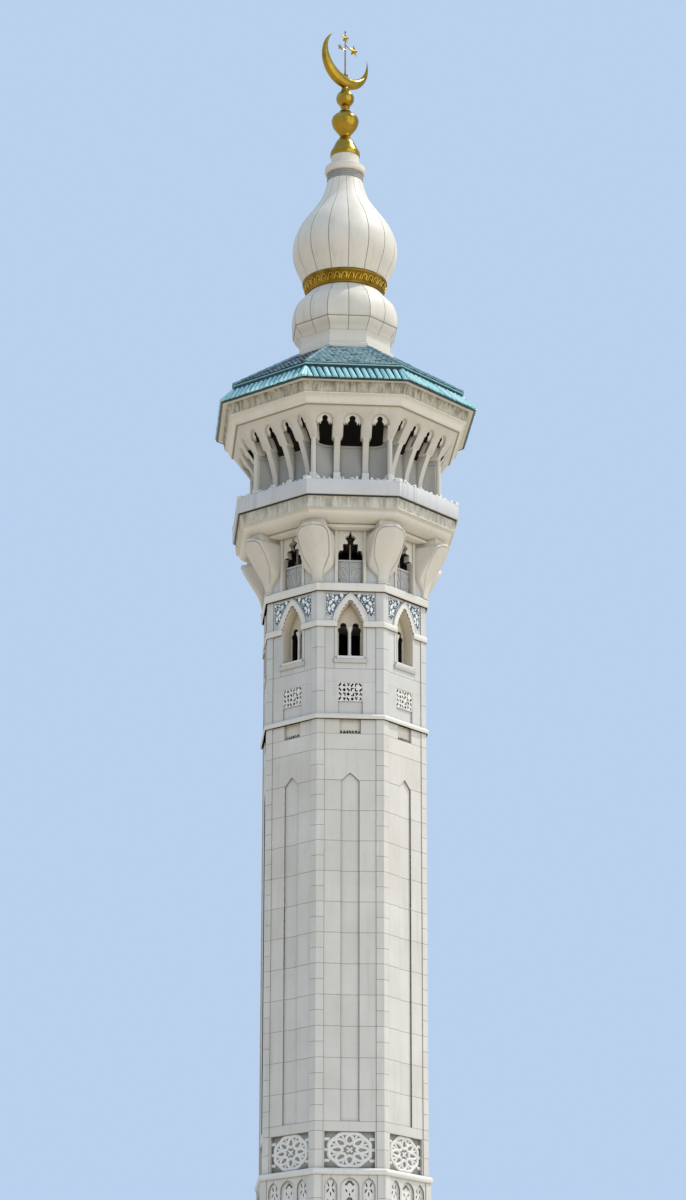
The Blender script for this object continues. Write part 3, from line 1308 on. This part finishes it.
def arcade_face(bays, rim):
    """The leaning front of one face: a plate with round-headed openings, and tracery in their heads."""
    low, high = (ARCADE_FOOT * HALF_SIDE, PIER_JOINT), (3.207 * HALF_SIDE, UPPER_CORNICE)
    outline = [high, (-high[0], high[1]), (-low[0], low[1])]
    tracery, dark = [], []
    for centre, half in bays:
        outline += [(centre - half, PIER_JOINT), (centre - half, ARCH_SPRING)]
        outline += round_head(centre, half + rim, ARCH_SPRING, ARCH_CROWN)
        outline += [(centre + half, ARCH_SPRING), (centre + half, PIER_JOINT)]
        lunette = round_head(centre, half + rim + 0.015, ARCH_SPRING - 0.012, ARCH_CROWN + 0.015)
        tracery.append(leaned(plate([lunette + bay_opening(centre, half)], -0.13, -0.1, 0.004)))
        dark.append(leaned(plate([lunette + bay_opening(centre, half, 0.016)], -0.29, -0.132, 0.003)))
    return leaned(plate([outline + [low]], -0.12, 0.0, 0.005)), merged(tracery), merged(dark)


def make_arcade():
    """The gallery's leaning wall of arches, on slim piers that rise from the foot of the guard wall."""
    parts = []
    foot = [(-0.1, 2.29), (0.1, 2.29), (0.1, 2.425), (0.09, 2.435), (-0.09, 2.435), (-0.1, 2.425)]
    heights = (GALLERY_STAND, 24.31, 24.42, 24.52, 24.7, 24.9, 25.05)
    pier = [(z, PIER_HALF, pier_front(z), 2.28) for z in heights]
    pier += [(25.13, PIER_HALF, pier_front(25.13), 2.29), (25.2, PIER_HALF, pier_front(25.2), 2.36)]
    kinds = (
        ((0, 2, 4, 6), THREE_BAYS, BETWEEN_THREE, 0.055),
        ((1, 3, 5, 7), FOUR_BAYS, BETWEEN_FOUR, 0.035),
    )
    for faces, bays, between, rim in kinds:
        front, tracery, dark = arcade_face(bays, rim)
        posts, feet = [], []
        for centre, half in between:
            wall = [(25.232, half - 0.012, 2.682, 2.39), (25.25, half, 2.69, 2.41), (25.55, half, 2.89, 2.6)]
            posts.append(moved(post(pier + wall + [(25.99, half, 3.17, 2.62)], 0.01), u=centre))
            feet.append(moved(block(foot, GALLERY_STAND, 24.25, 0.012), u=centre))
        posts.append(leaned(slab(rect(-1.05, 1.05, 25.83, 26.0), -0.29, -0.1, 0.004)))
        for face in faces:
            parts.append((on_face(merged([front] + posts), face), ARCADE))
            parts.append((on_face(tracery, face), MARBLE_TRIM))
            parts.append((on_face(dark, face), INSIDE))
            parts.append((on_face(merged(feet), face), MARBLE_TRIM))
    build("gallery_arcade", parts, replaces=quarters("arcade"), smooth=40)
    make_corner_columns()


def make_corner_columns():
    """A column on each corner of the gallery, upright up to the leaning wall."""
    column = [(0.0, 24.1), (0.078, 24.1), (0.074, 24.4), (0.07, 24.8), (0.069, 25.2), (0.0, 25.2)]
    fin = rect(-0.055, 0.055, 2.5, 2.85)
    foot = [(-0.085, 2.5), (0.085, 2.5), (0.085, 2.93), (0.0, 2.96), (-0.085, 2.93)]
    head = [
        (25.17, 0.08, 2.89, 2.62), (25.21, 0.095, 2.9, 2.6), (25.26, 0.098, 2.9, 2.6),
        (25.55, 0.1, 3.08, 2.66), (25.98, 0.1, 3.38, 2.7),
    ]
    build("gallery_corner_columns", [
        (on_corners(moved(turned(column, 16), n=2.85)), ARCADE),
        (on_corners(block(fin, GALLERY_STAND, 25.2, 0.01)), ARCADE),
        (on_corners(block(foot, GALLERY_STAND, 24.14, 0.012)), MARBLE_TRIM),
        (on_corners(post(head, 0.02)), ARCADE),
    ], smooth=40)


def make_upper_cornice():
    """The cornice over the gallery: a plain cove, a fillet and a fluted frieze."""
    seam_top = UPPER_CORNICE + 0.004
    seam = [(2.8, 25.985), (3.224, 25.985), (3.226, 26.0), (3.24, seam_top), (2.8, seam_top)]
    cove = [
        (2.8, UPPER_CORNICE), (3.25, UPPER_CORNICE), (3.272, 26.03), (3.285, 26.065), (3.31, 26.13),
        (3.345, 26.2), (3.37, 26.23), (3.4, 26.25), (3.425, 26.257), (3.435, 26.262), (3.438, 26.292),
        (3.425, 26.3), (2.8, 26.3),
    ]
    frieze = [
        (3.3, 26.295), (3.442, 26.295), (3.45, 26.33), (3.458, 26.37), (3.466, 26.42), (3.474, 26.46),
        (3.482, 26.5), (3.488, 26.53), (3.493, 26.56), (3.497, 26.585), (3.5, ROOF), (3.3, ROOF),
    ]
    build("upper_cornice_moulding", [
        (ring(seam), SEAM_BROWN),
        (ring(cove), SOFFIT),
        (frieze_ring(frieze, 6, 26.31, 26.575, 0.035), FRIEZE_UPPER),
    ], replaces=["upper_cornice"], smooth=35)


# The roof

def slope_ways(start, end):
    """The length of a slope that falls outwards, and the ways up it and out of it, all in (n, z)."""
    way = Vector((end[0] - start[0], end[1] - start[1]))
    length = way.length
    way.normalize()
    return length, way, Vector((way.y, -way.x))


def barrel_tiles(start, end, width, radius, skew, source):
    """Long half-round tiles from the eave up, on each side of the octagon."""
    tiles = []
    _, way, out = slope_ways(start, end)
    half_low, half_high = start[0] * HALF_SIDE, end[0] * HALF_SIDE
    count = int(2 * half_low / width)
    for i in range(count):
        middle = -half_low + 2 * half_low * (i + 0.5) / count
        low_u = middle + source.uniform(-0.008, 0.008)
        high_u = min(max(middle - skew + source.uniform(-0.01, 0.01), -half_high), half_high)
        lift = source.uniform(0.0, 0.012)
        rings = []
        for u, (n, z), size in ((low_u, start, radius), (low_u, start, radius), (high_u, end, radius * 0.88)):
            round_top = [polar(size, math.pi * j / 6) for j in range(7)]
            rises = [(u + x, y * 0.62 + lift) for x, y in round_top]
            rings.append([(place, n + out.x * up, z + out.y * up) for place, up in rises])
        rings[0] = [(u, n - way.x * 0.015, z - way.y * 0.015) for u, n, z in rings[0]]
        tiles.append(prism(rings))
    return on_faces(merged(tiles))


TILE_FACES = (
    (0, 1, 4, 3), (1, 2, 5, 4), (6, 9, 10, 7), (7, 10, 11, 8), (3, 4, 10, 9), (4, 5, 11, 10),
    (0, 6, 7, 1), (1, 7, 8, 2), (0, 3, 9, 6), (2, 8, 11, 5),
)


def tile_rows(start, end, rows, width, lap, thick, source, dark_share):
    """Tiles in lapped rows up a sloping side of the octagon, from (n, z) start to end.

    Dark share is how many tiles are dark: on most faces, and on those to the left of the front.
    """
    light, dark = [], []
    length, way, out = slope_ways(start, end)
    depth = length / rows
    gap, loose, crown = 0.006, 0.012, 0.008
    for face in range(FACES):
        for row in range(rows):
            low = row * depth
            half = (start[0] + way.x * low) * HALF_SIDE
            count = max(int(round(2 * half / width)), 1)
            for i in range(count):
                left = -half + 2 * half * i / count
                right = -half + 2 * half * (i + 1) / count
                if row % 2:
                    left, right = left + half / count, min(right + half / count, half)
                high = min(low + depth * (1 + lap), length)
                limit = (start[0] + way.x * high) * HALF_SIDE
                top_left, top_right = max(min(left, limit), -limit), max(min(right, limit), -limit)
                if right - left < width * 0.3:
                    continue
                lift = thick + source.uniform(0, 0.008)
                skew = source.uniform(-loose, loose)
                drop = source.uniform(-loose, loose)
                points = []
                foot = (low - drop - 0.01, left + gap, right - gap, lift)
                head = (high, top_left + gap, top_right - gap, 0.004)
                for s, a, b, raised in (foot, head):
                    for extra in (0.0, thick):
                        for u, bump in ((a, 0.0), ((a + b) / 2, crown), (b, 0.0)):
                            along = s + (skew if u == b else 0)
                            up = raised + extra + bump
                            n = start[0] + way.x * along + out.x * up
                            points.append((u, n, start[1] + way.y * along + out.y * up))
                tile = on_face(shape(points, TILE_FACES), face)
                share = dark_share[1] if face > 4 else dark_share[0]
                (dark if source.random() < share else light).append(tile)
    return merged(light), merged(dark)


def ridge(start, end, radius):
    """A row of half-round ridge tiles up each corner."""
    a, b = Vector((start[0] * CORNER, start[1])), Vector((end[0] * CORNER, end[1]))
    count = int((b - a).length / 0.28)
    tiles = []
    for i in range(count):
        p = a.lerp(b, i / count)
        q = a.lerp(b, (i + 1.12) / count) if i < count - 1 else b
        tiles.append(tube([(0, p.x, p.y), (0, q.x, q.y)], [radius * 1.12, radius * 0.92], 10))
    return on_corners(merged(tiles))


def make_roof():
    """Two tiers: barrel tiles over the eave, and lapped rows over them, with tiled ridges."""
    source = random.Random(11)
    bed = [
        (2.8, ROOF), (3.62, ROOF + 0.004), (3.68, ROOF + 0.012), (3.68, 26.63), (3.335, 27.03), (3.26, 27.05),
        (3.26, UPPER_ROOF), (2.8, UPPER_ROOF),
    ]
    upright = UPPER_ROOF - 0.004
    soffit = [(3.49, ROOF - 0.004), (3.63, ROOF - 0.004), (3.63, ROOF + 0.006), (3.49, ROOF + 0.006)]
    build("roof_lower_tiles", [
        (ring(bed), TILE_BED),
        (ring(soffit), SOFFIT),
        (barrel_tiles((3.69, 26.645), (3.34, 27.045), 0.175, 0.074, 0.1, source), TILE),
        (ring([(3.6, ROOF - 0.003), (3.695, ROOF - 0.003), (3.7, 26.615), (3.6, 26.615)]), TILE_DARK),
        (ridge((3.68, 26.66), (3.335, 27.06), 0.06), TILE),
        (ring([(3.2, 27.04), (3.3, 27.04), (3.3, upright), (3.2, upright)]), TILE_DARK),
    ], ["roof_lower_tier"], 40)

    bed = [(2.98, UPPER_ROOF), (3.32, UPPER_ROOF), (3.32, 27.2), (1.375, 28.53), (1.12, 28.53), (1.12, 28.48)]
    light, dark = tile_rows((3.34, 27.215), (1.38, 28.545), 15, 0.155, 0.3, 0.012, source, (0.1, 0.9))
    eave = [(3.2, upright), (3.345, upright), (3.352, 27.2), (3.33, 27.222), (3.2, 27.222)]
    build("roof_upper_tiles", [
        (ring(bed), TILE_BED),
        (light, TILE_ROW),
        (dark, TILE_DARK),
        (ridge((3.33, 27.235), (1.39, 28.56), 0.06), TILE_ROW),
        (ring(eave), TILE),
    ], ["roof_upper_tier"], 25)


# The domes

GORES = 16
GORE = math.tau / GORES
BULB_SEAM = 29.5
# The bulb's (radius, z, share): the share says how octagonal a level is
BULB_ROWS = (
    (1.31, 29.12, 1), (1.37, 29.256, 1), (1.46, 29.37, 1), (1.53, BULB_SEAM, 1), (1.568, 29.62, 0.85),
    (1.583, 29.833, 0.6), (1.546, 30.087, 0.35), (1.448, 30.312, 0.2), (1.272, 30.518, 0.1),
    (1.095, GOLD_BAND, 0),
)
ONION_PROFILE = (
    (1.248, ONION), (1.357, 31.408), (1.469, 31.672), (1.536, 31.926), (1.553, 32.122), (1.54, 32.347),
    (1.481, 32.582), (1.356, 32.875), (1.222, 33.1), (1.051, 33.335), (0.894, 33.56), (0.714, 33.854),
    (0.603, 34.156), (0.53, 34.45),
)


def gore_place(angle):
    """Where an angle lies across its gore, from 0 to 1, and how far it is from the nearest seam."""
    place = ((angle + math.pi / 2) / GORE) % 1.0
    return place, min(place, 1 - place) * GORE


def gore_angles():
    """Angles round a dome, crowded at the seams between its gores."""
    segments = 10
    seam = math.radians(0.4)
    angles = []
    for start in (-math.pi / 2 + i * GORE for i in range(GORES)):
        angles += [start, start + seam * 0.5, start + seam]
        angles += [start + seam + (GORE - 2 * seam) * t / segments for t in range(1, segments)]
        angles += [start + GORE - seam, start + GORE - seam * 0.5]
    return angles


def gored(depth, bulge=0.0):
    """Cuts a groove along each seam, and swells each gore a little."""
    def reach(radius, z, angle):
        place, away = gore_place(angle)
        groove = depth * max(0.0, 1 - away / math.radians(0.38))
        return radius + bulge * radius * math.sin(math.pi * place) - groove
    return reach


def in_seam(points):
    """Faces in the groove between two gores."""
    x, y, _ = points.mean(axis=0)
    return math.hypot(x, y) >= 0.5 and gore_place(math.atan2(y, x))[1] < math.radians(0.42)


def make_lower_bulb():
    """An octagonal foot that turns round upwards, with gores and one level seam."""
    groove = gored(0.009)
    rows = smooth_line(BULB_ROWS, 4)
    shares = {round(z, 6): share for _, z, share in rows}
    profile = []
    for radius, z, _ in rows:
        profile.append((radius, z))
        if abs(z - BULB_SEAM) < 1e-6:
            for extra in (0.008, 0.018):
                shares[round(z + extra, 6)] = 1.0
                profile.append((radius + 0.2 * extra, z + extra))

    def faceted(radius, z, angle):
        off = ((angle + math.pi / 2 + FACE_ANGLE / 2) % FACE_ANGLE) - FACE_ANGLE / 2
        flat = radius * 0.975 / math.cos(off)
        share = min(max(shares.get(round(z, 6), 0.0), 0.0), 1.0)
        seam = 0.014 if abs(z - BULB_SEAM) < 0.006 else 0.0
        return share * flat + (1 - share) * radius - (radius - groove(radius, z, angle)) - seam

    def seamed(points):
        return in_seam(points) or abs(points[:, 2].mean() - BULB_SEAM - 0.008) < 0.01

    inside = [(1.0, GOLD_BAND), (1.3, 30.2), (1.4, 29.833), (1.28, 29.4), (1.1, 29.12)]
    bulb = lathe(profile + inside, gore_angles(), faceted)
    build("lower_bulb_panels", [(bulb, DOME, DOME_SEAM, seamed)], ["lower_bulb"], 35)


def neck_blocks():
    """Three courses of small blocks round the top of the onion dome."""
    source = random.Random(3)
    blocks = []
    foot, height, count, joint, core = 34.46, 0.074, 48, 0.008, 0.5
    half = math.pi / count * 0.86
    for row in range(3):
        for i in range(count):
            middle = math.tau * (i + 0.5 * (row % 2)) / count
            out = 0.541 + source.uniform(0, 0.003)
            corners = ((core, -half), (out, -half), (out, half), (core, half))
            plan = [polar(radius, middle + angle) for radius, angle in corners]
            blocks.append(block(plan, foot + height * row, foot + height * (row + 1) - joint, 0.003))
    return merged(blocks)


def make_domes():
    """The collar, the lower bulb, the gilded band, the onion dome and its neck."""
    collar = [
        (1.12, COLLAR), (1.38, COLLAR), (1.385, 28.6), (1.375, 28.7), (1.35, 28.72), (1.3, 28.735),
        (1.298, 28.9), (1.298, 29.08), (1.31, 29.1), (1.31, LOWER_BULB), (1.12, LOWER_BULB),
    ]
    build("dome_collar_blocks", [(ring(collar), DOME)], ["dome_collar"], 35)
    make_lower_bulb()
    inside = [(0.4, 34.45), (0.7, 33.6), (1.15, 32.9), (1.4, 32.122), (1.12, ONION)]
    onion = lathe(smooth_line(ONION_PROFILE, 4) + inside, gore_angles(), gored(0.009, 0.004))
    bed = [(0.3, 34.42), (0.53, 34.42), (0.53, 34.68), (0.535, NECK), (0.3, NECK)]
    build("onion_dome_gores", [
        (onion, DOME, DOME_SEAM, in_seam),
        (turned(bed, 48), SEAM_BROWN),
        (neck_blocks(), NECK_STONE),
    ], ["onion_dome"], 35)
    neck = [
        (0.0, NECK), (0.545, NECK), (0.575, 34.703), (0.6, 34.728), (0.61, 34.763), (0.607, 34.81),
        (0.6, 34.853), (0.605, 34.878), (0.598, 34.908), (0.57, 34.925), (0.48, 34.938), (0.43, 34.953),
        (0.424, 34.99), (0.421, 35.1), (0.421, FINIAL), (0.0, FINIAL),
    ]
    build("dome_neck_ring", [(turned(neck, 64), DOME)], ["dome_neck"], 35)
    make_gold_band()


SCROLL = ((0.0, 0.1), (0.15, 0.5), (0.4, 0.85), (0.7, 0.75), (0.75, 0.42), (0.55, 0.3), (0.42, 0.48))
SPRAY = ((0.72, 0.12), (0.86, 0.45), (0.95, 0.9))


def make_gold_band():
    """A gilded band between two plain rims; a running scroll in relief goes round it."""
    profile = [
        (0.96, GOLD_BAND), (1.12, GOLD_BAND), (1.135, 30.745), (1.145, 30.77), (1.14, 30.79), (1.15, 30.8),
        (1.228, 31.05), (1.24, 31.06), (1.256, 31.07), (1.262, 31.1), (1.255, 31.13), (1.24, ONION),
        (0.96, ONION),
    ]
    low, high = (1.152, 30.81), (1.226, 31.045)
    step = math.tau / 36
    source = random.Random(17)

    def on_band(angle, share, lift):
        radius = low[0] + (high[0] - low[0]) * share + lift
        return (*polar(radius, angle), low[1] + (high[1] - low[1]) * share - lift * 0.3)

    def curve(points, start, steps):
        return smooth_line([(start + step * x, y) for x, y in points], steps)

    relief = []
    for start in (i * step for i in range(36)):
        relief.append(tube([on_band(x, y, 0.008) for x, y in curve(SCROLL, start, 3)], 0.017, 5))
        spray = [on_band(x, y, 0.003) for x, y in curve(SPRAY, start, 2)]
        relief.append(tube(spray, [0.014, 0.018, 0.015, 0.01, 0.005], 5))
        for _ in range(3):
            x, y = start + step * source.uniform(0.05, 0.95), source.uniform(0.1, 0.9)
            bead = [on_band(x - 0.008, y, 0), on_band(x, y, 0.008), on_band(x + 0.008, y, 0)]
            relief.append(tube(bead, [0.006, 0.014, 0.006], 5))
    build("gold_band_relief", [
        (turned(profile, 96), GOLD_GROUND),
        (merged(relief), GOLD_RELIEF),
    ], ["gold_band"], 40)


# The finial

CUP_TOP, BULB_TOP, BALL_TOP = 35.976, 36.79, 37.56
BALL_RADIUS, BALL_HEIGHT, BALL_OPEN = 0.272, 37.245, 0.11
CRESCENT_CENTRE, CRESCENT_RADIUS, CRESCENT_THICK, CRESCENT_WIDE = 38.529, 0.929, 0.42, 0.36
CRESCENT_FROM, CRESCENT_TO, CRESCENT_FATTEST, CRESCENT_YAW = -149.7, 108.7, -20.5, 37.5
# Each star's middle (u, z) and radius, and where its stem leaves the rod
STARS = ((0.0, 39.3, 0.18, 39.2), (0.345, 38.975, 0.21, 39.08), (-0.215, 38.93, 0.12, 38.9))


def yawed(part):
    """A shape of the crescent's plane, turned off the front."""
    c, s = polar(1, math.radians(CRESCENT_YAW))
    return part[0] @ np.array(((c, s, 0), (-s, c, 0), (0, 0, 1))), part[1]


def make_finial():
    """Gilded cup, bulb and ball, and over them the crescent with its stars."""
    cup = [
        (0.446, 35.33), (0.446, 35.42), (0.41, 35.5), (0.36, 35.6), (0.3, 35.73), (0.25, 35.82), (0.19, 35.9),
        (0.15, CUP_TOP),
    ]
    bulb = [
        (0.15, CUP_TOP), (0.19, 36.05), (0.28, 36.17), (0.365, 36.3), (0.408, 36.43), (0.41, 36.51),
        (0.375, 36.61), (0.3, 36.69), (0.21, 36.75), (0.165, 36.785),
    ]
    stem = [
        (0.0, BULB_TOP), (0.15, BULB_TOP), (0.168, 36.8), (0.17, 36.82), (0.15, 36.84), (0.12, 36.855),
        (0.106, 36.88), (0.112, 36.92), (0.14, 36.94), (0.145, 36.955), (0.12, 36.972),
    ]
    cap = [(BALL_OPEN, 37.52), (0.125, 37.53), (0.125, 37.55), (BALL_OPEN, BALL_TOP), (0.0, BALL_TOP)]
    foot = -math.pi / 2 + math.asin(BALL_OPEN / BALL_RADIUS)
    circle = [polar(BALL_RADIUS, foot - 2 * foot * i / 24) for i in range(25)]
    ball = [(x, BALL_HEIGHT + y) for x, y in circle if BALL_HEIGHT + y > 36.99]
    profiles = {
        "cup": [(0.0, FINIAL), (0.43, FINIAL), (0.442, 35.295)] + smooth_line(cup, 5) + [(0.0, CUP_TOP)],
        "bulb": [(0.0, CUP_TOP)] + smooth_line(bulb, 5) + [(0.15, BULB_TOP), (0.0, BULB_TOP)],
        "ball": stem + ball + cap,
    }
    for name, profile in profiles.items():
        build(f"finial_{name}_gilt", [(turned(profile, 64), GOLD)], [f"finial_{name}"], 45)
    make_crescent()
    make_stars()


def make_crescent():
    """A crescent that is thickest at its foot, on two small collars."""
    reach = math.cos(math.radians(CRESCENT_TO - CRESCENT_FATTEST))
    steps, sides = 72, 20
    rings = []
    for i in range(steps + 1):
        degrees = CRESCENT_FROM + (CRESCENT_TO - CRESCENT_FROM) * i / steps
        along = math.radians(degrees)
        share = (math.cos(math.radians(degrees - CRESCENT_FATTEST)) - reach) / (1 - reach)
        depth = max(CRESCENT_THICK * share, 0.008)
        wide = CRESCENT_WIDE * depth + 0.004
        section = []
        for turn in (math.tau * j / sides for j in range(sides)):
            out = CRESCENT_RADIUS - depth / 2 + depth / 2 * math.cos(turn)
            across = wide * math.copysign(abs(math.sin(turn)) ** 1.15, math.sin(turn))
            section.append((out * math.sin(along), across, CRESCENT_CENTRE - out * math.cos(along)))
        rings.append(section)
    lower = [
        (0.0, BALL_TOP), (0.11, BALL_TOP), (0.108, 37.6), (0.085, 37.63), (0.08, 37.66), (0.1, 37.72),
        (0.0, 37.74),
    ]
    upper = [(0.0, 37.8), (0.1, 37.84), (0.11, 37.9), (0.095, 37.95), (0.07, 37.985), (0.0, 37.99)]
    build("crescent_gilt", [
        (yawed(prism(rings)), GOLD),
        (turned(lower, 32), GOLD),
        (turned(upper, 32), GOLD),
    ], ["crescent"], 60)


def make_stars():
    """Three five-pointed stars on a rod and two bent stems."""
    rod = [
        (0.0, 37.98), (0.06, 37.985), (0.084, 38.02), (0.084, 38.05), (0.06, 38.075), (0.04, 38.09),
        (0.03, 38.12), (0.026, 38.2), (0.02, 39.2), (0.014, 39.46), (0.03, 39.49), (0.03, 39.515),
        (0.012, 39.55), (0.0, 39.552),
    ]
    parts = [turned(rod, 20)]
    count, half_thick = 10, 0.034
    faces = [(i, (i + 1) % count, count) for i in range(count)]
    faces += [((i + 1) % count, i, count + 1) for i in range(count)]
    for u, z, radius, stem in STARS:
        reaches = [radius if i % 2 == 0 else 0.42 * radius for i in range(count)]
        rim = [polar(reach, math.pi / 2 + math.pi * i / 5) for i, reach in enumerate(reaches)]
        points = [(u + x, 0.0, z + y) for x, y in rim] + [(u, half_thick, z), (u, -half_thick, z)]
        parts.append(shape(points, faces))
        if u:
            line = smooth_line([(0.0, 0, stem), (u / 2, 0, (stem + z) / 2 - 0.03), (u, 0, z)], 5)
            parts.append(tube(line, 0.018, 8))
    build("star_spray_gilt", [(yawed(merged(parts)), GOLD)], ["star_spray"], 20)


# The ledges, and the frame's solids that stay

def make_ledges():
    """The three mouldings that run round the tower between its storeys."""
    base = [
        (ROOM, BASE_LEDGE), (2.32, BASE_LEDGE), (2.345, 4.312), (2.362, 4.34), (2.37, 4.38), (2.366, 4.42),
        (2.35, 4.455), (2.32, 4.475), (ROOM, SHAFT_FOOT),
    ]
    middle = [
        (CORE, MID_LEDGE), (2.298, MID_LEDGE), (2.318, 16.998), (2.328, 17.03), (2.328, 17.07),
        (2.312, 17.105), (2.285, 17.128), (CORE, WINDOW_FOOT + 0.002),
    ]
    string = [
        (CORE, STRING), (2.31, STRING), (2.33, 20.742), (2.338, 20.765), (2.338, 20.9), (2.346, 20.925),
        (2.34, 20.95), (2.32, 20.967), (CORE, 20.968),
    ]
    build("base_ledge_moulding", [(ring(base), MARBLE_TRIM)], replaces=["base_ledge"], smooth=40)
    build("middle_ledge_moulding", [(ring(middle), MARBLE_TRIM)], smooth=40)
    build("string_course_moulding", [(ring(string), MARBLE_TRIM)], smooth=40)


def dress_frame():
    """The CAD solids that stay: cores behind the cladding, and floors."""
    cores = quarters("base_wall") + quarters("shaft_wall") + quarters("window_wall")
    looks = {**{name: JOINTS for name in cores}, "window_floor": MARBLE_TRIM, "corbel_floor": MARBLE_TRIM,
             "gallery_floor": GUARD_GREY, "gallery_ceiling": CEILING}
    for name, material in looks.items():
        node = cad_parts[name]
        node.data.materials.clear()
        node.data.materials.append(material)


# The stage, the lights and the camera

SKY_GLOW = rgb(186, 209, 238)
GROUND_GLOW = (0.68, 0.61, 0.5)
CAMERA_DISTANCE, CAMERA_HEIGHT, CAMERA_TURN = 95.5746, -10.993, 4.516
CAMERA_LENS, CAMERA_PITCH, CAMERA_PAN, CAMERA_ROLL = 105.0, 18.635, -0.020, 0.12


def sun(name, azimuth, elevation, energy, angle, color):
    """A sun lamp from its bearing right of the front, and its height over the horizon, in degrees."""
    light = bpy.data.lights.new(name, "SUN")
    light.energy = energy
    light.angle = math.radians(angle)
    light.color = color
    lamp = bpy.data.objects.new(name, light)
    a, e = math.radians(azimuth), math.radians(elevation)
    towards = Vector((math.sin(a) * math.cos(e), -math.cos(a) * math.cos(e), math.sin(e)))
    lamp.rotation_mode = "QUATERNION"
    lamp.rotation_quaternion = towards.to_track_quat("Z", "Y")
    bpy.context.scene.collection.objects.link(lamp)


def make_stage():
    """A pale floor, a sky that glows from below the horizon too, a key sun and a low fill."""
    bpy.ops.mesh.primitive_circle_add(vertices=96, radius=20.0, fill_type="NGON", location=(0, 0, 0))
    floor = bpy.context.object
    floor.name = "floor"
    look = Look("studio_floor", Roughness=0.9)
    look.set("Base Color", look.mix(look.noise(0.4, 3.0), (218, 208, 192), (206, 196, 180)))
    floor.data.materials.append(look.material)

    world = bpy.data.worlds.new("studio")
    bpy.context.scene.world = world
    world.use_nodes = True
    nodes, links = world.node_tree.nodes, world.node_tree.links
    place = nodes.new("ShaderNodeTexCoord")
    split = nodes.new("ShaderNodeSeparateXYZ")
    rise = nodes.new("ShaderNodeMapRange")
    blend = nodes.new("ShaderNodeMix")
    blend.data_type = "RGBA"
    rise.inputs["From Min"].default_value = -0.03
    rise.inputs["From Max"].default_value = 0.03
    blend.inputs[6].default_value = (*GROUND_GLOW, 1)
    blend.inputs[7].default_value = (*SKY_GLOW, 1)
    links.new(place.outputs["Generated"], split.inputs[0])
    links.new(split.outputs["Z"], rise.inputs["Value"])
    links.new(rise.outputs["Result"], blend.inputs[0])
    links.new(blend.outputs[2], nodes["Background"].inputs["Color"])

    sun("key", 100.0, 57.0, 2.6, 2.0, (1.0, 0.955, 0.88))
    sun("fill", 45.0, 3.0, 0.9, 70.0, (1.0, 0.985, 0.95))


def make_camera():
    """The photo's camera, fitted to the octagon's edges and the ledges."""
    data = bpy.data.cameras.new("camera")
    data.lens = CAMERA_LENS
    data.sensor_width = 36.0
    data.clip_end = 500.0
    camera = bpy.data.objects.new("camera", data)
    turn = math.radians(CAMERA_TURN)
    camera.location = (-CAMERA_DISTANCE * math.sin(turn), -CAMERA_DISTANCE * math.cos(turn), CAMERA_HEIGHT)
    aim = Matrix.Rotation(-turn - math.radians(CAMERA_PAN), 4, "Z")
    aim = aim @ Matrix.Rotation(math.radians(90 + CAMERA_PITCH), 4, "X")
    aim = aim @ Matrix.Rotation(math.radians(CAMERA_ROLL), 4, "Z")
    camera.rotation_mode = "QUATERNION"
    camera.rotation_quaternion = aim.to_quaternion()
    bpy.context.scene.collection.objects.link(camera)
    bpy.context.scene.camera = camera
    bpy.context.scene.view_settings.view_transform = "Standard"


dress_frame()
make_plinth()
make_base()
make_ledges()
make_shaft()
make_rosettes()
make_window_storey()
make_corbel_walls()
make_gallery_cornice()
make_guard_wall()
make_arcade()
make_upper_cornice()
make_roof()
make_domes()
make_finial()
make_stage()
make_camera()
